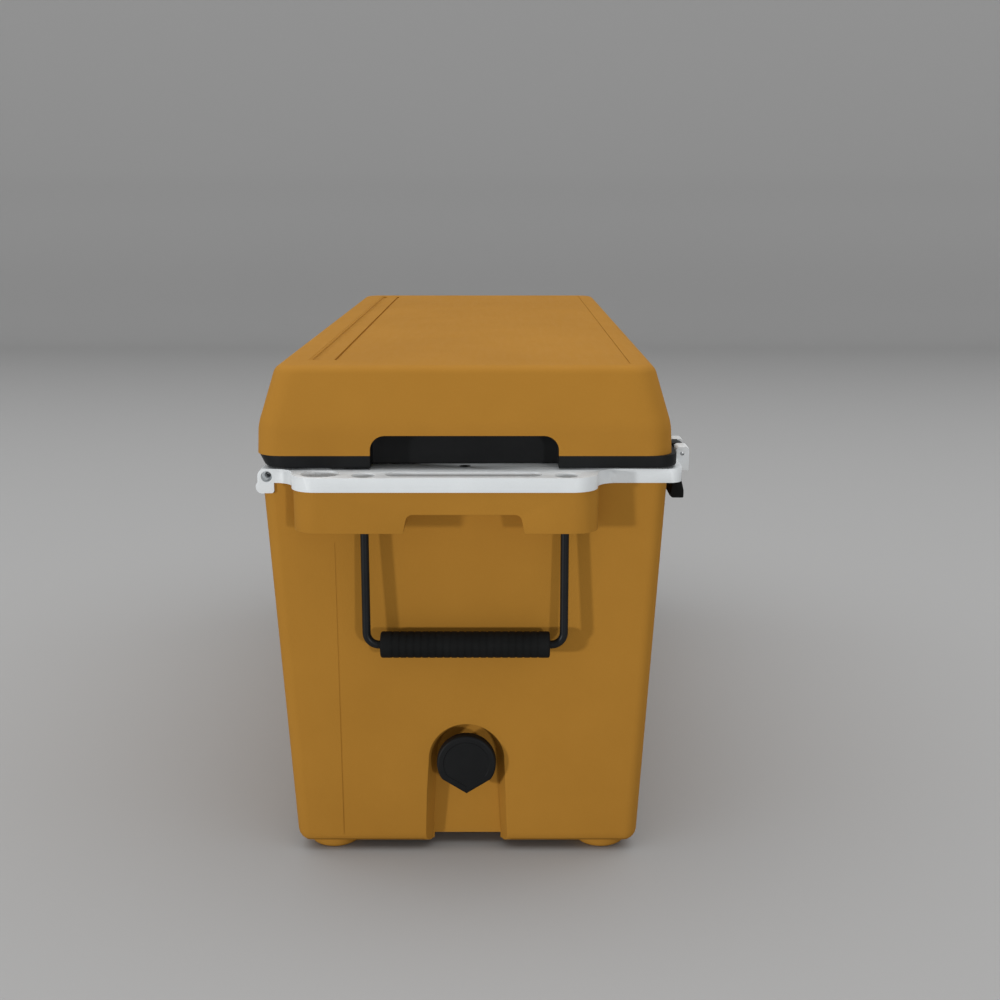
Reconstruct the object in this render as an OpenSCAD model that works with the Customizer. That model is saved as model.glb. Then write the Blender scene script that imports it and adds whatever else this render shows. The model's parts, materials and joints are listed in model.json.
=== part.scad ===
// Wheeled cooler: foamed body and lid, bail handles, two latches, drain and two wheels.
// X runs along the length with the drain end at -X and the wheels at +X.
// The latches face -Y, the hinge is at +Y and the floor is at Z = 0.

/* [Body] */
// Length of the body at its top edge
body_len = 958; // [860:1:1150]
// Width of the body at its top edge
body_wid = 387; // [350:1:470]
// Height of the body's top edge above the floor
body_top = 390; // [350:1:470]
// Height of the body's underside above the floor
body_low = 15; // [12:1:20]
// How far each long side leans in from top to bottom
side_lean = 20.5; // [10:0.5:24]
// How far each end leans in from top to bottom
end_lean = 18; // [10:0.5:20]
// Radius of the body's upright corners
corner_r = 24; // [20:1:28]
// Radius of the body's bottom edge
edge_r = 13; // [8:1:14]
// Wall of the outer shell
wall = 3.5; // [3:0.1:4]

/* [Tub] */
// Foam and walls along each side, from the body's top edge to the inside of the tub
side_foam = 38; // [36:1:45]
// Foam and walls at each end, from the body's top edge to the inside of the tub
end_foam = 42; // [42:1:50]
// Wall of the food-safe liner
liner_t = 2.5; // [2:0.1:3]
// Radius of the tub's upright corners
tub_r = 20; // [16:1:30]
// Height of the raised tub floor over the wheels
step_top = 192; // [185:1:210]

/* [Frame] */
// Thickness of the top frame
frame_t = 13.5; // [12:0.5:15]
// How far the frame stands out past the body along the front
front_lip = 13.5; // [11:0.5:14]
// How far the frame stands out past the ends and the back
frame_lip = 2; // [1:0.5:2.5]
// How far each tool shelf stands out past the frame's end
shelf_out = 45; // [42:1:50]
// Diameter of the round tool holes
tool_d = 22; // [16:1:23]
// Diameter of the tie hole under the lid's hand notch
tie_d = 11; // [8:1:12]

/* [Lid] */
// Height of the black band around the foot of the lid
band_t = 12; // [10:1:14]
// Height of the lid shell above its band
lid_h = 83; // [76:1:95]
// Lid overhang past the body's ends
lid_out = 8; // [7:0.5:10]
// Wall of the lid shell
lid_wall = 3; // [2.5:0.1:3.5]
// Half length of the hand notch at each end
notch_half = 89; // [75:1:95]

/* [Hinge and latches] */
// Diameter of the hinge pin
hinge_d = 6; // [5:0.1:7.2]
// Length of one hinge knuckle
knuckle_len = 40; // [30:1:45]
// Distance of each latch from the middle of the body
latch_x = 388; // [330:1:392]
// Width of a latch
latch_wid = 64; // [54:1:70]
// Diameter of the latch pin
latch_pin_d = 5; // [4:0.5:6]

/* [Bail handles] */
// Diameter of the bail rod
rod_d = 8; // [6.5:0.1:9.6]
// Distance of each bail leg from the middle
leg_y = 95; // [90:1:96]
// Drop from the bail pivot to the middle of the grip
bail_drop = 125; // [110:1:140]
// Diameter of the grip
grip_d = 25.5; // [20:0.5:27]

/* [Wheels] */
// Diameter of a wheel
wheel_d = 150; // [140:1:155]
// Width of a wheel
wheel_wid = 46; // [40:1:48]
// Distance of the axle from the middle of the body
axle_x = 420; // [405:1:425]
// Diameter of the axle
axle_d = 12; // [10:0.1:14.4]

/* [Drain] */
// Height of the drain above the floor
drain_z = 103; // [102:1:106]
// Diameter of the drain cap
cap_d = 59; // [54:1:62]
// Diameter of the drain bore
drain_bore = 18; // [14:1:18]
// Depth of the channel around the drain
channel_deep = 20; // [16:1:22]

/* [Hidden] */
$fn = 64;

eps = 0.01; // thin slice that a hull starts from
cut = 1; // how far a cut runs past a face
ends = [-1, 1];
run_fit = 0.05; // radial clearance of a turning fit
soft_gap = 0.3; // clearance of foam and rubber
play = 0.5; // side clearance of moving parts

// Body
half_x = body_len / 2;
half_y = body_wid / 2;
body_h = body_top - body_low;
flange_t = 4; // inward flange at the shell's top
flange_in = 17.5; // width of that flange
foot_r = 26;
foot_pad_r = 20;
foot_round = foot_r - foot_pad_r;
foot_in = 35; // foot's middle from the body's lower edges
screw_d = 4;
function end_x(z) = half_x - end_lean * (body_top - z) / body_h;
function side_y(z) = half_y - side_lean * (body_top - z) / body_h;

// Tub
tub_x = half_x - end_foam;
tub_y = half_y - side_foam;
spout_r = drain_bore / 2 + 3.5;
nut_rim = 4; // how far the drain nut stands out around the spout
tub_low = drain_z - spout_r - nut_rim - soft_gap;
step_x = axle_x - wheel_d / 2 - end_foam; // where the raised floor begins

// Frame and shelf
frame_top = body_top + frame_t;
frame_x = half_x + frame_lip;
frame_front = half_y + front_lip;
frame_rear = half_y + frame_lip;
frame_r = 12;
shelf_x = frame_x + shelf_out;
shelf_rear = 161;
shelf_front = -125;
shelf_r = 25;
fillet_r = 20;
tool_x = shelf_x - 14;
tool_y = [93, -95];
tie_x = half_x - 13;
slot_x = shelf_x - 19;
slot_half = 73;
slot_wid = 20;
oval_x = slot_x - 2;
oval_y = 134;
oval_r = 14;
oval_run = 4; // half distance between the oval's centres
screw_deep = 22; // reach of the frame's screws below it
screw_front_in = 8; // screws' places, in from the body's edges
screw_rear_in = 15;
screw_end_in = 9;
head_d = 8;
head_t = 2.5;
head_sink = 0.5;
front_screw_x = 110;
side_screw_x = 335;
end_screw_y = [-140, 130];

// Boss under each shelf, and the hand notch in it
boss_h = 40;
boss_low = body_top - boss_h;
boss_x = shelf_x - 4;
boss_front = shelf_front - 1;
boss_rear = shelf_rear - 1;
boss_r = 25;
pocket_floor = body_top - 18;
pocket_r = boss_r - wall;
grip_notch_half = 58.5;
grip_notch_h = 18;
grip_notch_slant = 4; // how far each side of the notch leans out

// Hinge
hinge_y = half_y - 5.5;
hinge_z = body_top + 6;
knuckle_r = 5.9; // lid knuckles stay inside the frame's thickness
frame_knuckle_r = 11;
lug_len = 18;
lug_in = 7; // how far the lug reaches in from the pin
lug_low = body_top - 10;
lug_bore_r = 5.3;
pin_half = frame_x - 9;
inner_knuckle_x = 220;
lid_knuckle_x = [inner_knuckle_x, half_x - lug_len - knuckle_len - play];
frame_knuckle_x = [inner_knuckle_x - knuckle_len - play, inner_knuckle_x + knuckle_len + play];

// Lid
lid_low = frame_top + 1.5;
sweep_r = lid_low - hinge_z - play; // rear edge of the frame, turned about the hinge
lug_wid = lug_in + sweep_r;
lid_base = lid_low + band_t;
lid_top = lid_base + lid_h;
lid_x = half_x + lid_out;
lid_y = half_y + 3;
lid_r = 38;
lid_rim = 27; // height of the upright foot of the lid
lid_slope = 17; // how far the lid leans in above it
lid_edge = 8;
band_front = lid_y + 5.5;
band_rear = hinge_y + 2;
band_r = 34;
band_wall = 12; // width of the band's foot along the ends
band_sill = 14; // width of the band's foot along the front and back
panel_t = 3;
plug_h = 8;
plug_gap = 3;
notch_h = 19;
notch_deep = 30;
notch_r = 14;
cup_t = 2.5;
ruler_y = 138.5;
ruler_wid = 29;
ruler_deep = 2.5;
ruler_near = -422;
ruler_far = 440;
gasket_w = 9;
gasket_groove = 1.8; // depth of the gasket's groove in the liner
lid_screw_x = [100, 300];
lid_screw_y = [-lid_y + 7, lid_y - 10];
gasket_x = half_x - 25;
gasket_y = half_y - 23;

// Latch
latch_y = -(band_front + 11.5);
latch_z = lid_low + 2;
latch_r = 7;
latch_low = body_top - 5;
latch_back = -(frame_front + 0.5);
arm_t = 4;
bracket_half = 11.5;
pull_half = 27;
pull_low = body_top - 29;
pull_head = 15; // height of the thick foot of the pull
foot_lean = 5; // how far the foot's inner side leans in
foot_out = 5.5; // how far the foot stands out past the arm
foot_bevel = 3;
stem_t = 3;
stem_top = body_top - 2;

// Bail
pivot_x = half_x + 13;
pivot_z = boss_low + 8;
bend_r = 12;
leg_room = 1; // clearance beside a leg in its slot
slot_wall = 3; // boss wall in front of the slot
clip_len = 20;
clip_from = leg_y + rod_d / 2 + 2;
clip_to = clip_from + clip_len;
clip_half = 12;
clip_h = pivot_z - boss_low;
clip_gap = 0.1;
clip_screw_off = 8.5;
clip_screw_d = 3;
clip_head_d = 5.5;
clip_head_t = 2;
clip_screw_len = clip_h + 9;
pin_end = clip_to - 3;
grip_half = leg_y - bend_r - 1.5;
collar = 5; // width of the collar at each end of the grip
groove = 0.8; // depth of the grooves around it
rib_pitch = 7;
rib_half = 2;

// Wheels
wheel_r = wheel_d / 2;
axle_z = wheel_r;
well_room = 12; // space around a wheel in its well
well_r = wheel_r + well_room;
tread_t = 14;
washer_t = 2;
washer_rim = 6;
axle_cap_t = 4;
axle_cap_rim = 4;
cap_gap = 0.25;
wheel_out = side_y(axle_z) - axle_cap_t - 1.5 * cut;
wheel_in = wheel_out - wheel_wid;
well_in = wheel_in - washer_t - play / 2;
hub_r = wheel_r - tread_t;
hub_sink = 6; // how far the web of the hub lies inside the tyre's face
hub_rim = 6;
spoke_half = 3;
spoke_deep = 14;
sleeve_rim = 6;
tyre_round = 5;
bush_r = axle_d / 2 + 3;

// Drain
channel_r = 38;
channel_half = 45;
channel_x = end_x(drain_z) - channel_deep;
spout_out = 14;
spout_in = 10; // reach of the spout inside the tub
spout_rim = 5;
nut_t = 5;
seal_t = 2;
cap_front = channel_x + 32;
cap_back = channel_x + 5;
cap_r = cap_d / 2;
tip_drop = cap_r + 2.3; // the cap's point below its middle
tip_slope = 0.627; // rise of the two flats beside the point
washer_back = 3;

// The overhang is unequal front and back, so the whole part is shifted to sit centred.
front_reach = -latch_y + latch_r;
rear_reach = hinge_y + frame_knuckle_r;
shift_y = (front_reach - rear_reach) / 2;

amber = "#b57f33";
white = "#e4e6e3";
black = "#1d1f21";
steel = "#9a9da0";
foam = "#e8dfb0";
rubber = "#2a2b2d";

module placed() translate([0, shift_y, 0]) children();

module both_ends() for (s = [0, 1]) mirror([s, 0, 0]) children();

module both_sides() for (s = [0, 1]) mirror([0, s, 0]) children();

// Cylinder along X or along Y, centred on the origin unless it is given a start and an end.
module rod_x(r, from, to) translate([from, 0, 0]) rotate([0, 90, 0]) cylinder(r = r, h = to - from);

module rod_y(r, from, to) translate([0, to, 0]) rotate([90, 0, 0]) cylinder(r = r, h = to - from);

// Rectangle with round corners, from its four edges.
module round_rect(x0, x1, y0, y1, r) {
    translate([x0 + r, y0]) square([x1 - x0 - 2 * r, y1 - y0]);
    translate([x0, y0 + r]) square([x1 - x0, y1 - y0 - 2 * r]);
    for (x = [x0 + r, x1 - r], y = [y0 + r, y1 - r]) translate([x, y]) circle(r);
}

module slab(x, y, r, low, high) translate([0, 0, low])
    linear_extrude(high - low) round_rect(-x, x, -y, y, r);

// Four corner discs at one height: a hull over several of them makes a leaning box.
module corners(x, y, r, z) for (sx = [-1, 1], sy = [-1, 1])
    translate([sx * (x - r), sy * (y - r), z]) cylinder(r = r, h = eps, $fn = 32);

// The body's outside, moved in by a wall.
module body_form(in, low, high) hull() {
    corners(end_x(high) - in, side_y(high) - in, corner_r - in, high - eps);
    for (a = [0:30:90]) let (z = low + edge_r * (1 - sin(a)), back = edge_r * (1 - cos(a)))
        corners(end_x(z) - in - back, side_y(z) - in - back, corner_r - in - back, z);
}

// The lid's outside, moved in by a wall.
module lid_form(in, low, high) hull() {
    corners(lid_x - in, lid_y - in, lid_r - in, low);
    corners(lid_x - in - 1, lid_y - in - 1, lid_r - in - 1, lid_base + lid_rim);
    for (a = [0:30:90]) let (z = high - lid_edge * (1 - sin(a)), back = lid_edge * (1 - cos(a)))
        corners(lid_x - in - lid_slope + (lid_edge - back) / 4 - back,
            lid_y - in - lid_slope + (lid_edge - back) / 4 - back,
            lid_r - in - lid_slope / 2 - back / 2, z - eps);
}

// Space around the wheels, grown by a wall.
module wells(grow) both_sides() translate([axle_x, well_in - grow, axle_z]) {
    rod_y(well_r + grow, 0, half_y);
    translate([-well_r - grow, 0, -axle_z - cut]) cube([3 * well_r, half_y, axle_z + cut]);
    translate([0, 0, -axle_z - cut]) cube([2 * well_r, half_y, axle_z + well_r + grow + cut]);
}

// Space around the drain cap, grown by a wall.
module channel(grow) translate([-half_x - cut, 0, 0]) rotate([90, 0, 90])
    linear_extrude(half_x + cut - channel_x + grow) {
        translate([0, drain_z]) circle(channel_r + grow);
        polygon([[-channel_half - grow, body_low - cut], [channel_half + grow, body_low - cut],
            [channel_r + grow, drain_z], [-channel_r - grow, drain_z]]);
    }

// Foot with a flat pad and a round shoulder.
module foot() rotate_extrude() {
    square([foot_pad_r, body_low + edge_r]);
    translate([0, foot_round]) square([foot_r, body_low + edge_r - foot_round]);
    translate([foot_pad_r, foot_round]) circle(foot_round);
}

module boss() difference() {
    translate([0, 0, boss_low]) linear_extrude(boss_h)
        round_rect(-boss_x, -half_x + corner_r + wall, boss_front, boss_rear, boss_r);
    translate([0, 0, pocket_floor]) linear_extrude(boss_h)
        round_rect(-boss_x + wall, -half_x - wall, boss_front + wall, boss_rear - wall, pocket_r);
    translate([-boss_x - cut, 0, boss_low]) rotate([90, 0, 90])
        linear_extrude(boss_x + cut - end_x(boss_low) - wall / 2)
        polygon([[-grip_notch_half, -cut], [grip_notch_half, -cut],
            [grip_notch_half - grip_notch_slant, grip_notch_h],
            [-grip_notch_half + grip_notch_slant, grip_notch_h]]);
}

// Slot that a bail leg swings in, with the seats of its pivot and of the clip that holds it.
module bail_slots() both_sides() {
    translate([-boss_x + slot_wall, leg_y - rod_d / 2 - leg_room, boss_low - cut])
        cube([boss_x - slot_wall - pivot_x + rod_d / 2 + play, rod_d + 2 * leg_room,
            clip_h + rod_d / 2 + 2 * cut]);
    translate([-pivot_x, 0, pivot_z]) rod_y(rod_d / 2 + run_fit, leg_y, pin_end + play);
    translate([-pivot_x - clip_half, clip_from, boss_low - cut])
        cube([2 * clip_half, clip_to - clip_from, clip_h + cut]);
    for (side = [-1, 1]) translate([-pivot_x + side * clip_screw_off, (clip_from + clip_to) / 2,
        pivot_z - cut]) cylinder(d = clip_screw_d, h = clip_screw_len - clip_h + 2 * cut);
}

// Box that the frame's hinge lug fills at each rear corner of the body.
module lugs(gap) both_ends() translate([-frame_x - cut, hinge_y - lug_in - gap, lug_low - gap])
    cube([lug_len + gap + cut, lug_wid + cut + 2 * gap, frame_top - lug_low]);

// Places of the screws that hold the frame down on the shell's flange.
module screw_spots() {
    for (s = ends, x = [front_screw_x, side_screw_x]) {
        translate([s * x, -half_y + screw_front_in]) children();
        translate([s * x, half_y - screw_rear_in]) children();
    }
    both_ends() for (y = end_screw_y) translate([-half_x + screw_end_in, y]) children();
}

module outer_shell() color(amber) placed() difference() {
    union() {
        body_form(0, body_low, body_top);
        both_ends() boss();
        both_sides() translate([-end_x(body_low) + foot_in, side_y(body_low) - foot_in, 0]) foot();
    }
    difference() {
        body_form(wall, body_low + wall, body_top - flange_t);
        wells(wall);
        channel(wall);
    }
    slab(half_x - flange_in, half_y - flange_in, tub_r, body_top - flange_t - cut, body_top + cut);
    wells(0);
    channel(0);
    both_ends() bail_slots();
    lugs(0);
    translate([-channel_x, 0, drain_z]) rod_x(spout_r, -cut, wall + cut);
    translate([axle_x, 0, axle_z]) rod_y(axle_d / 2, -half_y, half_y);
    screw_spots() translate([0, 0, body_top - flange_t - cut])
        cylinder(d = screw_d, h = flange_t + 2 * cut);
}

// Outside of the tub with its raised floor over the wheels.
module tub_form(grow, high) difference() {
    slab(tub_x + grow, tub_y + grow, tub_r + grow, tub_low - grow, high);
    translate([step_x + grow, -half_y, 0]) cube([half_x, body_wid, step_top - grow]);
}

module body_foam() color(foam) placed() difference() {
    body_form(wall + soft_gap, body_low + wall + soft_gap, body_top - flange_t - soft_gap);
    tub_form(liner_t + soft_gap, body_top);
    wells(wall + soft_gap);
    channel(wall + soft_gap);
    translate([-channel_x, 0, drain_z]) rod_x(spout_r + soft_gap, 0, channel_x);
    translate([axle_x, 0, axle_z]) rod_y(axle_d / 2 + soft_gap, -half_y, half_y);
    lugs(soft_gap);
    screw_spots() translate([0, 0, body_top - screw_deep - 2 * cut])
        cylinder(d = screw_d + 1, h = screw_deep + 2 * cut);
}

module inner_liner() color(white) placed() difference() {
    union() {
        tub_form(liner_t, body_top);
        slab(half_x - flange_in, half_y - flange_in, tub_r, body_top - liner_t, body_top);
    }
    tub_form(0, body_top + cut);
    translate([-tub_x, 0, drain_z]) rod_x(spout_r, -liner_t - cut, cut);
}

// Outline of the frame with a tool shelf at each end.
module frame_outline() {
    round_rect(-frame_x, frame_x, -frame_front, frame_rear, frame_r);
    both_ends() {
        round_rect(-shelf_x, -frame_x + frame_r + shelf_r, shelf_front, shelf_rear, shelf_r);
        for (edge = [[shelf_rear, 1], [shelf_front, -1]]) difference() {
            translate([-frame_x - fillet_r, min(edge[0], edge[0] + edge[1] * fillet_r)])
                square(fillet_r + cut);
            translate([-frame_x - fillet_r, edge[0] + edge[1] * fillet_r]) circle(fillet_r);
            if (edge[1] < 0) translate([-frame_x - fillet_r, edge[0]]) square(fillet_r + 2 * cut);
        }
    }
}

module tool_holes() both_ends() {
    for (y = tool_y) translate([-tool_x, y]) circle(d = tool_d);
    translate([-slot_x - slot_wid / 2, -slot_half + slot_wid / 2])
        square([slot_wid, 2 * slot_half - slot_wid]);
    for (y = [-slot_half + slot_wid / 2, slot_half - slot_wid / 2]) translate([-slot_x, y])
        circle(d = slot_wid);
    for (y = [-oval_run, oval_run]) translate([-oval_x, oval_y + y]) circle(oval_r);
    translate([-oval_x - oval_r, oval_y - oval_run]) square([2 * oval_r, 2 * oval_run]);
    translate([-tie_x, 0]) circle(d = tie_d);
}

// Room for a lid knuckle to turn in the frame's back edge.
module knuckle_rooms() for (s = ends, x = lid_knuckle_x)
    translate([s * x - knuckle_len / 2 - play, hinge_y - knuckle_r - play, body_top - cut])
        cube([knuckle_len + 2 * play, half_y, frame_t + 2 * cut]);

// Rounds the frame's rear edge about the hinge, so that the lid's band turns past it.
module rear_round() translate([0, hinge_y, hinge_z]) difference() {
    translate([-frame_x - cut, 0, 0]) cube([2 * (frame_x + cut), half_y, frame_t]);
    rod_x(sweep_r, -frame_x - 2 * cut, frame_x + 2 * cut);
}

module rim_frame() color(white) placed() difference() {
    union() {
        difference() {
            union() {
                translate([0, 0, body_top]) linear_extrude(frame_t) difference() {
                    frame_outline();
                    round_rect(-tub_x, tub_x, -tub_y, tub_y, tub_r);
                    tool_holes();
                }
                both_ends() translate([-frame_x, hinge_y - lug_in, lug_low])
                    cube([lug_len, lug_wid, frame_top - lug_low]);
            }
            rear_round();
        }
        for (s = ends, x = frame_knuckle_x) intersection() {
            translate([s * x, hinge_y, hinge_z]) rod_x(frame_knuckle_r, -knuckle_len / 2, knuckle_len / 2);
            translate([-half_x, hinge_y - frame_knuckle_r, body_top])
                cube([body_len, 2 * frame_knuckle_r, 2 * frame_knuckle_r]);
        }
    }
    knuckle_rooms();
    translate([0, hinge_y, hinge_z]) {
        rod_x(hinge_d / 2 + run_fit, -frame_x - cut, frame_x + cut);
        both_ends() rod_x(lug_bore_r, -frame_x - cut, -pin_half + cut);
    }
    screw_spots() translate([0, 0, body_top - cut]) {
        cylinder(d = screw_d, h = frame_t + 2 * cut);
        translate([0, 0, frame_t - head_t - head_sink + cut]) cylinder(d = head_d, h = frame_t);
    }
}

module rim_screws() color(steel) placed() screw_spots() {
    translate([0, 0, body_top - screw_deep])
        cylinder(d = screw_d, h = screw_deep + frame_t - head_t - head_sink);
    translate([0, 0, frame_top - head_t - head_sink]) cylinder(d = head_d, h = head_t);
}

module hinge_pin() color(steel) placed() translate([0, hinge_y, hinge_z])
    rod_x(hinge_d / 2, -pin_half, pin_half);

// Blocks that hold the bail pivots up in the boss.
module bail_clips() color(black) placed() both_ends() both_sides() difference() {
    translate([-pivot_x - clip_half + clip_gap, clip_from + clip_gap, boss_low])
        cube([2 * (clip_half - clip_gap), clip_to - clip_from - 2 * clip_gap, clip_h]);
    translate([-pivot_x, 0, pivot_z]) rod_y(rod_d / 2 + run_fit, leg_y, clip_to + cut);
    for (side = [-1, 1]) translate([-pivot_x + side * clip_screw_off, (clip_from + clip_to) / 2, boss_low])
        translate([0, 0, -cut]) {
            cylinder(d = clip_screw_d, h = clip_h + 2 * cut);
            cylinder(d = clip_head_d, h = clip_head_t + play + cut);
        }
}

module bail_clip_screws() color(steel) placed() both_ends() both_sides() for (side = [-1, 1])
    translate([-pivot_x + side * clip_screw_off, (clip_from + clip_to) / 2, boss_low]) {
        translate([0, 0, play]) cylinder(d = clip_head_d, h = clip_head_t);
        translate([0, 0, play]) cylinder(d = clip_screw_d, h = clip_screw_len);
    }

// Threaded tube from the tub's wall out into the channel.
module drain_spout() color(black) placed() translate([0, 0, drain_z]) difference() {
    union() {
        rod_x(spout_r, -channel_x - spout_out, -tub_x + spout_in);
        rod_x(spout_r + spout_rim, -channel_x - 3, -channel_x);
    }
    rod_x(drain_bore / 2, -channel_x - spout_out - cut, -tub_x + spout_in + cut);
}

module drain_nut() color(black) placed() translate([-tub_x + seal_t, 0, drain_z]) difference() {
    rotate([0, 90, 0]) rotate(30) cylinder(r = spout_r + nut_rim, h = nut_t, $fn = 6);
    rod_x(spout_r, -cut, nut_t + cut);
}

module drain_gasket() color(rubber) placed() translate([-tub_x, 0, drain_z]) difference() {
    rod_x(spout_r + nut_rim - 1, 0, seal_t);
    rod_x(spout_r, -cut, seal_t + cut);
}

module wheel_axle() color(steel) placed() translate([axle_x, 0, axle_z])
    rod_y(axle_d / 2, -wheel_out - axle_cap_t, wheel_out + axle_cap_t);

module axle_washers() color(steel) placed() both_sides() translate([axle_x, 0, axle_z]) difference() {
    rod_y(axle_d / 2 + washer_rim, well_in, well_in + washer_t);
    rod_y(axle_d / 2, well_in - cut, well_in + washer_t + cut);
}

module axle_caps() color(black) placed() both_sides() translate([axle_x, 0, axle_z]) difference() {
    rod_y(axle_d / 2 + axle_cap_rim, wheel_out + cap_gap, wheel_out + axle_cap_t + cut);
    rod_y(axle_d / 2, wheel_out, wheel_out + axle_cap_t);
}

// Hand notch at the end of the lid, grown by a wall.
module lid_notch(grow, deep) translate([-lid_x - cut, 0, 0]) rotate([90, 0, 90])
    linear_extrude(deep + cut)
        round_rect(-notch_half - grow, notch_half + grow, lid_low - notch_r * 2,
            lid_base + notch_h + grow, notch_r);

// Shallow bed of the ruler in the lid's top, grown by a wall.
module ruler_bed(grow) translate([ruler_near - grow, ruler_y - ruler_wid / 2 - grow,
    lid_top - ruler_deep - grow])
    cube([ruler_far - ruler_near + 2 * grow, ruler_wid + 2 * grow, ruler_deep + grow + cut]);

module lid_shell() color(amber) placed() difference() {
    lid_form(0, lid_base, lid_top);
    difference() {
        lid_form(lid_wall, lid_base - cut, lid_top - lid_wall);
        ruler_bed(lid_wall);
    }
    both_ends() lid_notch(0, notch_deep + cup_t);
    ruler_bed(0);
}

module lid_foam() color(foam) placed() difference() {
    lid_form(lid_wall + soft_gap, lid_base, lid_top - lid_wall - soft_gap);
    both_ends() lid_notch(cup_t + soft_gap, notch_deep + cup_t + soft_gap);
    ruler_bed(lid_wall + soft_gap);
}

module band_outline() round_rect(-lid_x, lid_x, -band_front, band_rear, band_r);

module latch_spots() for (x = [-latch_x, latch_x]) translate([x, 0, 0]) children();

// Lower panel of the lid: black band, shallow plug, linings of the hand notches and knuckles.
module lid_liner() color(black) placed() difference() {
    union() {
        difference() {
            translate([0, 0, lid_low]) linear_extrude(band_t) band_outline();
            translate([0, 0, lid_low + panel_t])
                slab(lid_x - band_wall, lid_y - band_sill, lid_r - band_wall, 0, band_t);
        }
        slab(tub_x - plug_gap, tub_y - plug_gap, tub_r - plug_gap, lid_low - plug_h, lid_low);
        both_ends() intersection() {
            lid_notch(cup_t, notch_deep + cup_t);
            lid_form(lid_wall, lid_low, lid_top - lid_wall);
        }
        for (s = ends, x = lid_knuckle_x) translate([s * x, hinge_y, hinge_z]) {
            rod_x(knuckle_r, -knuckle_len / 2, knuckle_len / 2);
            translate([-knuckle_len / 2, -knuckle_r, 0])
                cube([knuckle_len, knuckle_r + 2, lid_low - hinge_z]);
        }
    }
    both_ends() lid_notch(0, notch_deep);
    translate([0, hinge_y, hinge_z]) {
        rod_x(hinge_d / 2 + run_fit, -frame_x, frame_x);
        for (s = ends, x = frame_knuckle_x) translate([s * x, 0, 0])
            rod_x(frame_knuckle_r + play, -knuckle_len / 2 - play, knuckle_len / 2 + play);
    }
    difference() {
        slab(gasket_x, gasket_y, tub_r, lid_low - cut, lid_low + gasket_groove);
        slab(gasket_x - gasket_w, gasket_y - gasket_w, tub_r - gasket_w, 0, lid_top);
    }
    lid_screw_spots() translate([0, 0, -cut]) cylinder(d = screw_d, h = band_t + 2 * cut);
}

module lid_screw_spots() for (s = ends, x = lid_screw_x, y = lid_screw_y)
    translate([s * x, y, lid_low]) children();

module lid_gasket() color(rubber) placed() difference() {
    slab(gasket_x, gasket_y, tub_r, frame_top + soft_gap, lid_low + gasket_groove);
    slab(gasket_x - gasket_w, gasket_y - gasket_w, tub_r - gasket_w, 0, lid_top);
}

module lid_screws() color(steel) placed() lid_screw_spots() cylinder(d = screw_d, h = band_t);

// Black knuckle that carries each latch pin, fixed to the band.
module latch_brackets() color(black) placed() latch_spots() difference() {
    union() {
        translate([0, latch_y, latch_z]) rod_x(latch_r - 1, -bracket_half, bracket_half);
        translate([-bracket_half, latch_y, lid_low])
            cube([2 * bracket_half, -latch_y - band_front, band_t - 3]);
    }
    translate([0, latch_y, latch_z]) rod_x(latch_pin_d / 2, -latch_wid, latch_wid);
}

module latch_pins() color(steel) placed() latch_spots() translate([0, latch_y, latch_z])
    rod_x(latch_pin_d / 2, -latch_wid / 2 + 1, latch_wid / 2 - 1);

// White arm: knuckles at both ends of the pin, and a plate that hangs over the frame's edge.
module latch_arm(x) color(white) placed() translate([x, 0, 0]) difference() {
    union() {
        translate([0, latch_y, latch_z]) rod_x(latch_r, -latch_wid / 2, latch_wid / 2);
        translate([-latch_wid / 2, latch_back - arm_t, latch_low])
            cube([latch_wid, arm_t, latch_z - latch_low]);
    }
    translate([0, latch_y, latch_z]) rod_x(latch_pin_d / 2 + run_fit, -latch_wid, latch_wid);
    translate([-bracket_half - play, latch_y - latch_r - cut, latch_z - latch_r - play])
        cube([2 * (bracket_half + play), 3 * latch_r, 3 * latch_r]);
}

// Rubber pull: a stem on the face of the arm and a thick foot below it.
module latch_pull(x) color(rubber) placed() translate([x - pull_half, 0, 0]) rotate([90, 0, 90])
    linear_extrude(2 * pull_half) let (face = latch_back - arm_t, head = pull_low + pull_head)
    polygon([[face, stem_top], [face, latch_low], [latch_back, latch_low],
        [latch_back + foot_lean, pull_low + foot_bevel],
        [latch_back + foot_lean - foot_bevel, pull_low], [face - foot_out, pull_low],
        [face - foot_out, pull_low + pull_head / 2], [face - stem_t, head + foot_bevel],
        [face - stem_t, stem_top]]);

module latch_arm_near() latch_arm(-latch_x);
module latch_arm_far() latch_arm(latch_x);
module latch_pull_near() latch_pull(-latch_x);
module latch_pull_far() latch_pull(latch_x);

// Steel rod: pivot ends turned outwards, two legs and a crossbar with round bends.
module bail_rod() translate([-pivot_x, 0, pivot_z]) {
    both_sides() {
        rod_y(rod_d / 2, leg_y, pin_end);
        translate([0, leg_y, 0]) sphere(d = rod_d);
        translate([0, leg_y, -bail_drop + bend_r]) cylinder(d = rod_d, h = bail_drop - bend_r);
        translate([0, leg_y - bend_r, -bail_drop + bend_r]) rotate([0, 90, 0])
            rotate_extrude(angle = 90) translate([bend_r, 0]) circle(d = rod_d);
    }
    translate([0, 0, -bail_drop]) rod_y(rod_d / 2, -leg_y + bend_r, leg_y - bend_r);
}

module bail_grip() translate([-pivot_x, 0, pivot_z - bail_drop]) difference() {
    union() {
        rod_y(grip_d / 2 - groove, -grip_half, grip_half);
        both_sides() rod_y(grip_d / 2, grip_half - collar, grip_half);
        for (y = [-grip_half + 2 * collar:rib_pitch:grip_half - 2 * collar])
            rod_y(grip_d / 2, y - rib_half, y + rib_half);
    }
    rod_y(rod_d / 2 + run_fit, -leg_y, leg_y);
}

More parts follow.
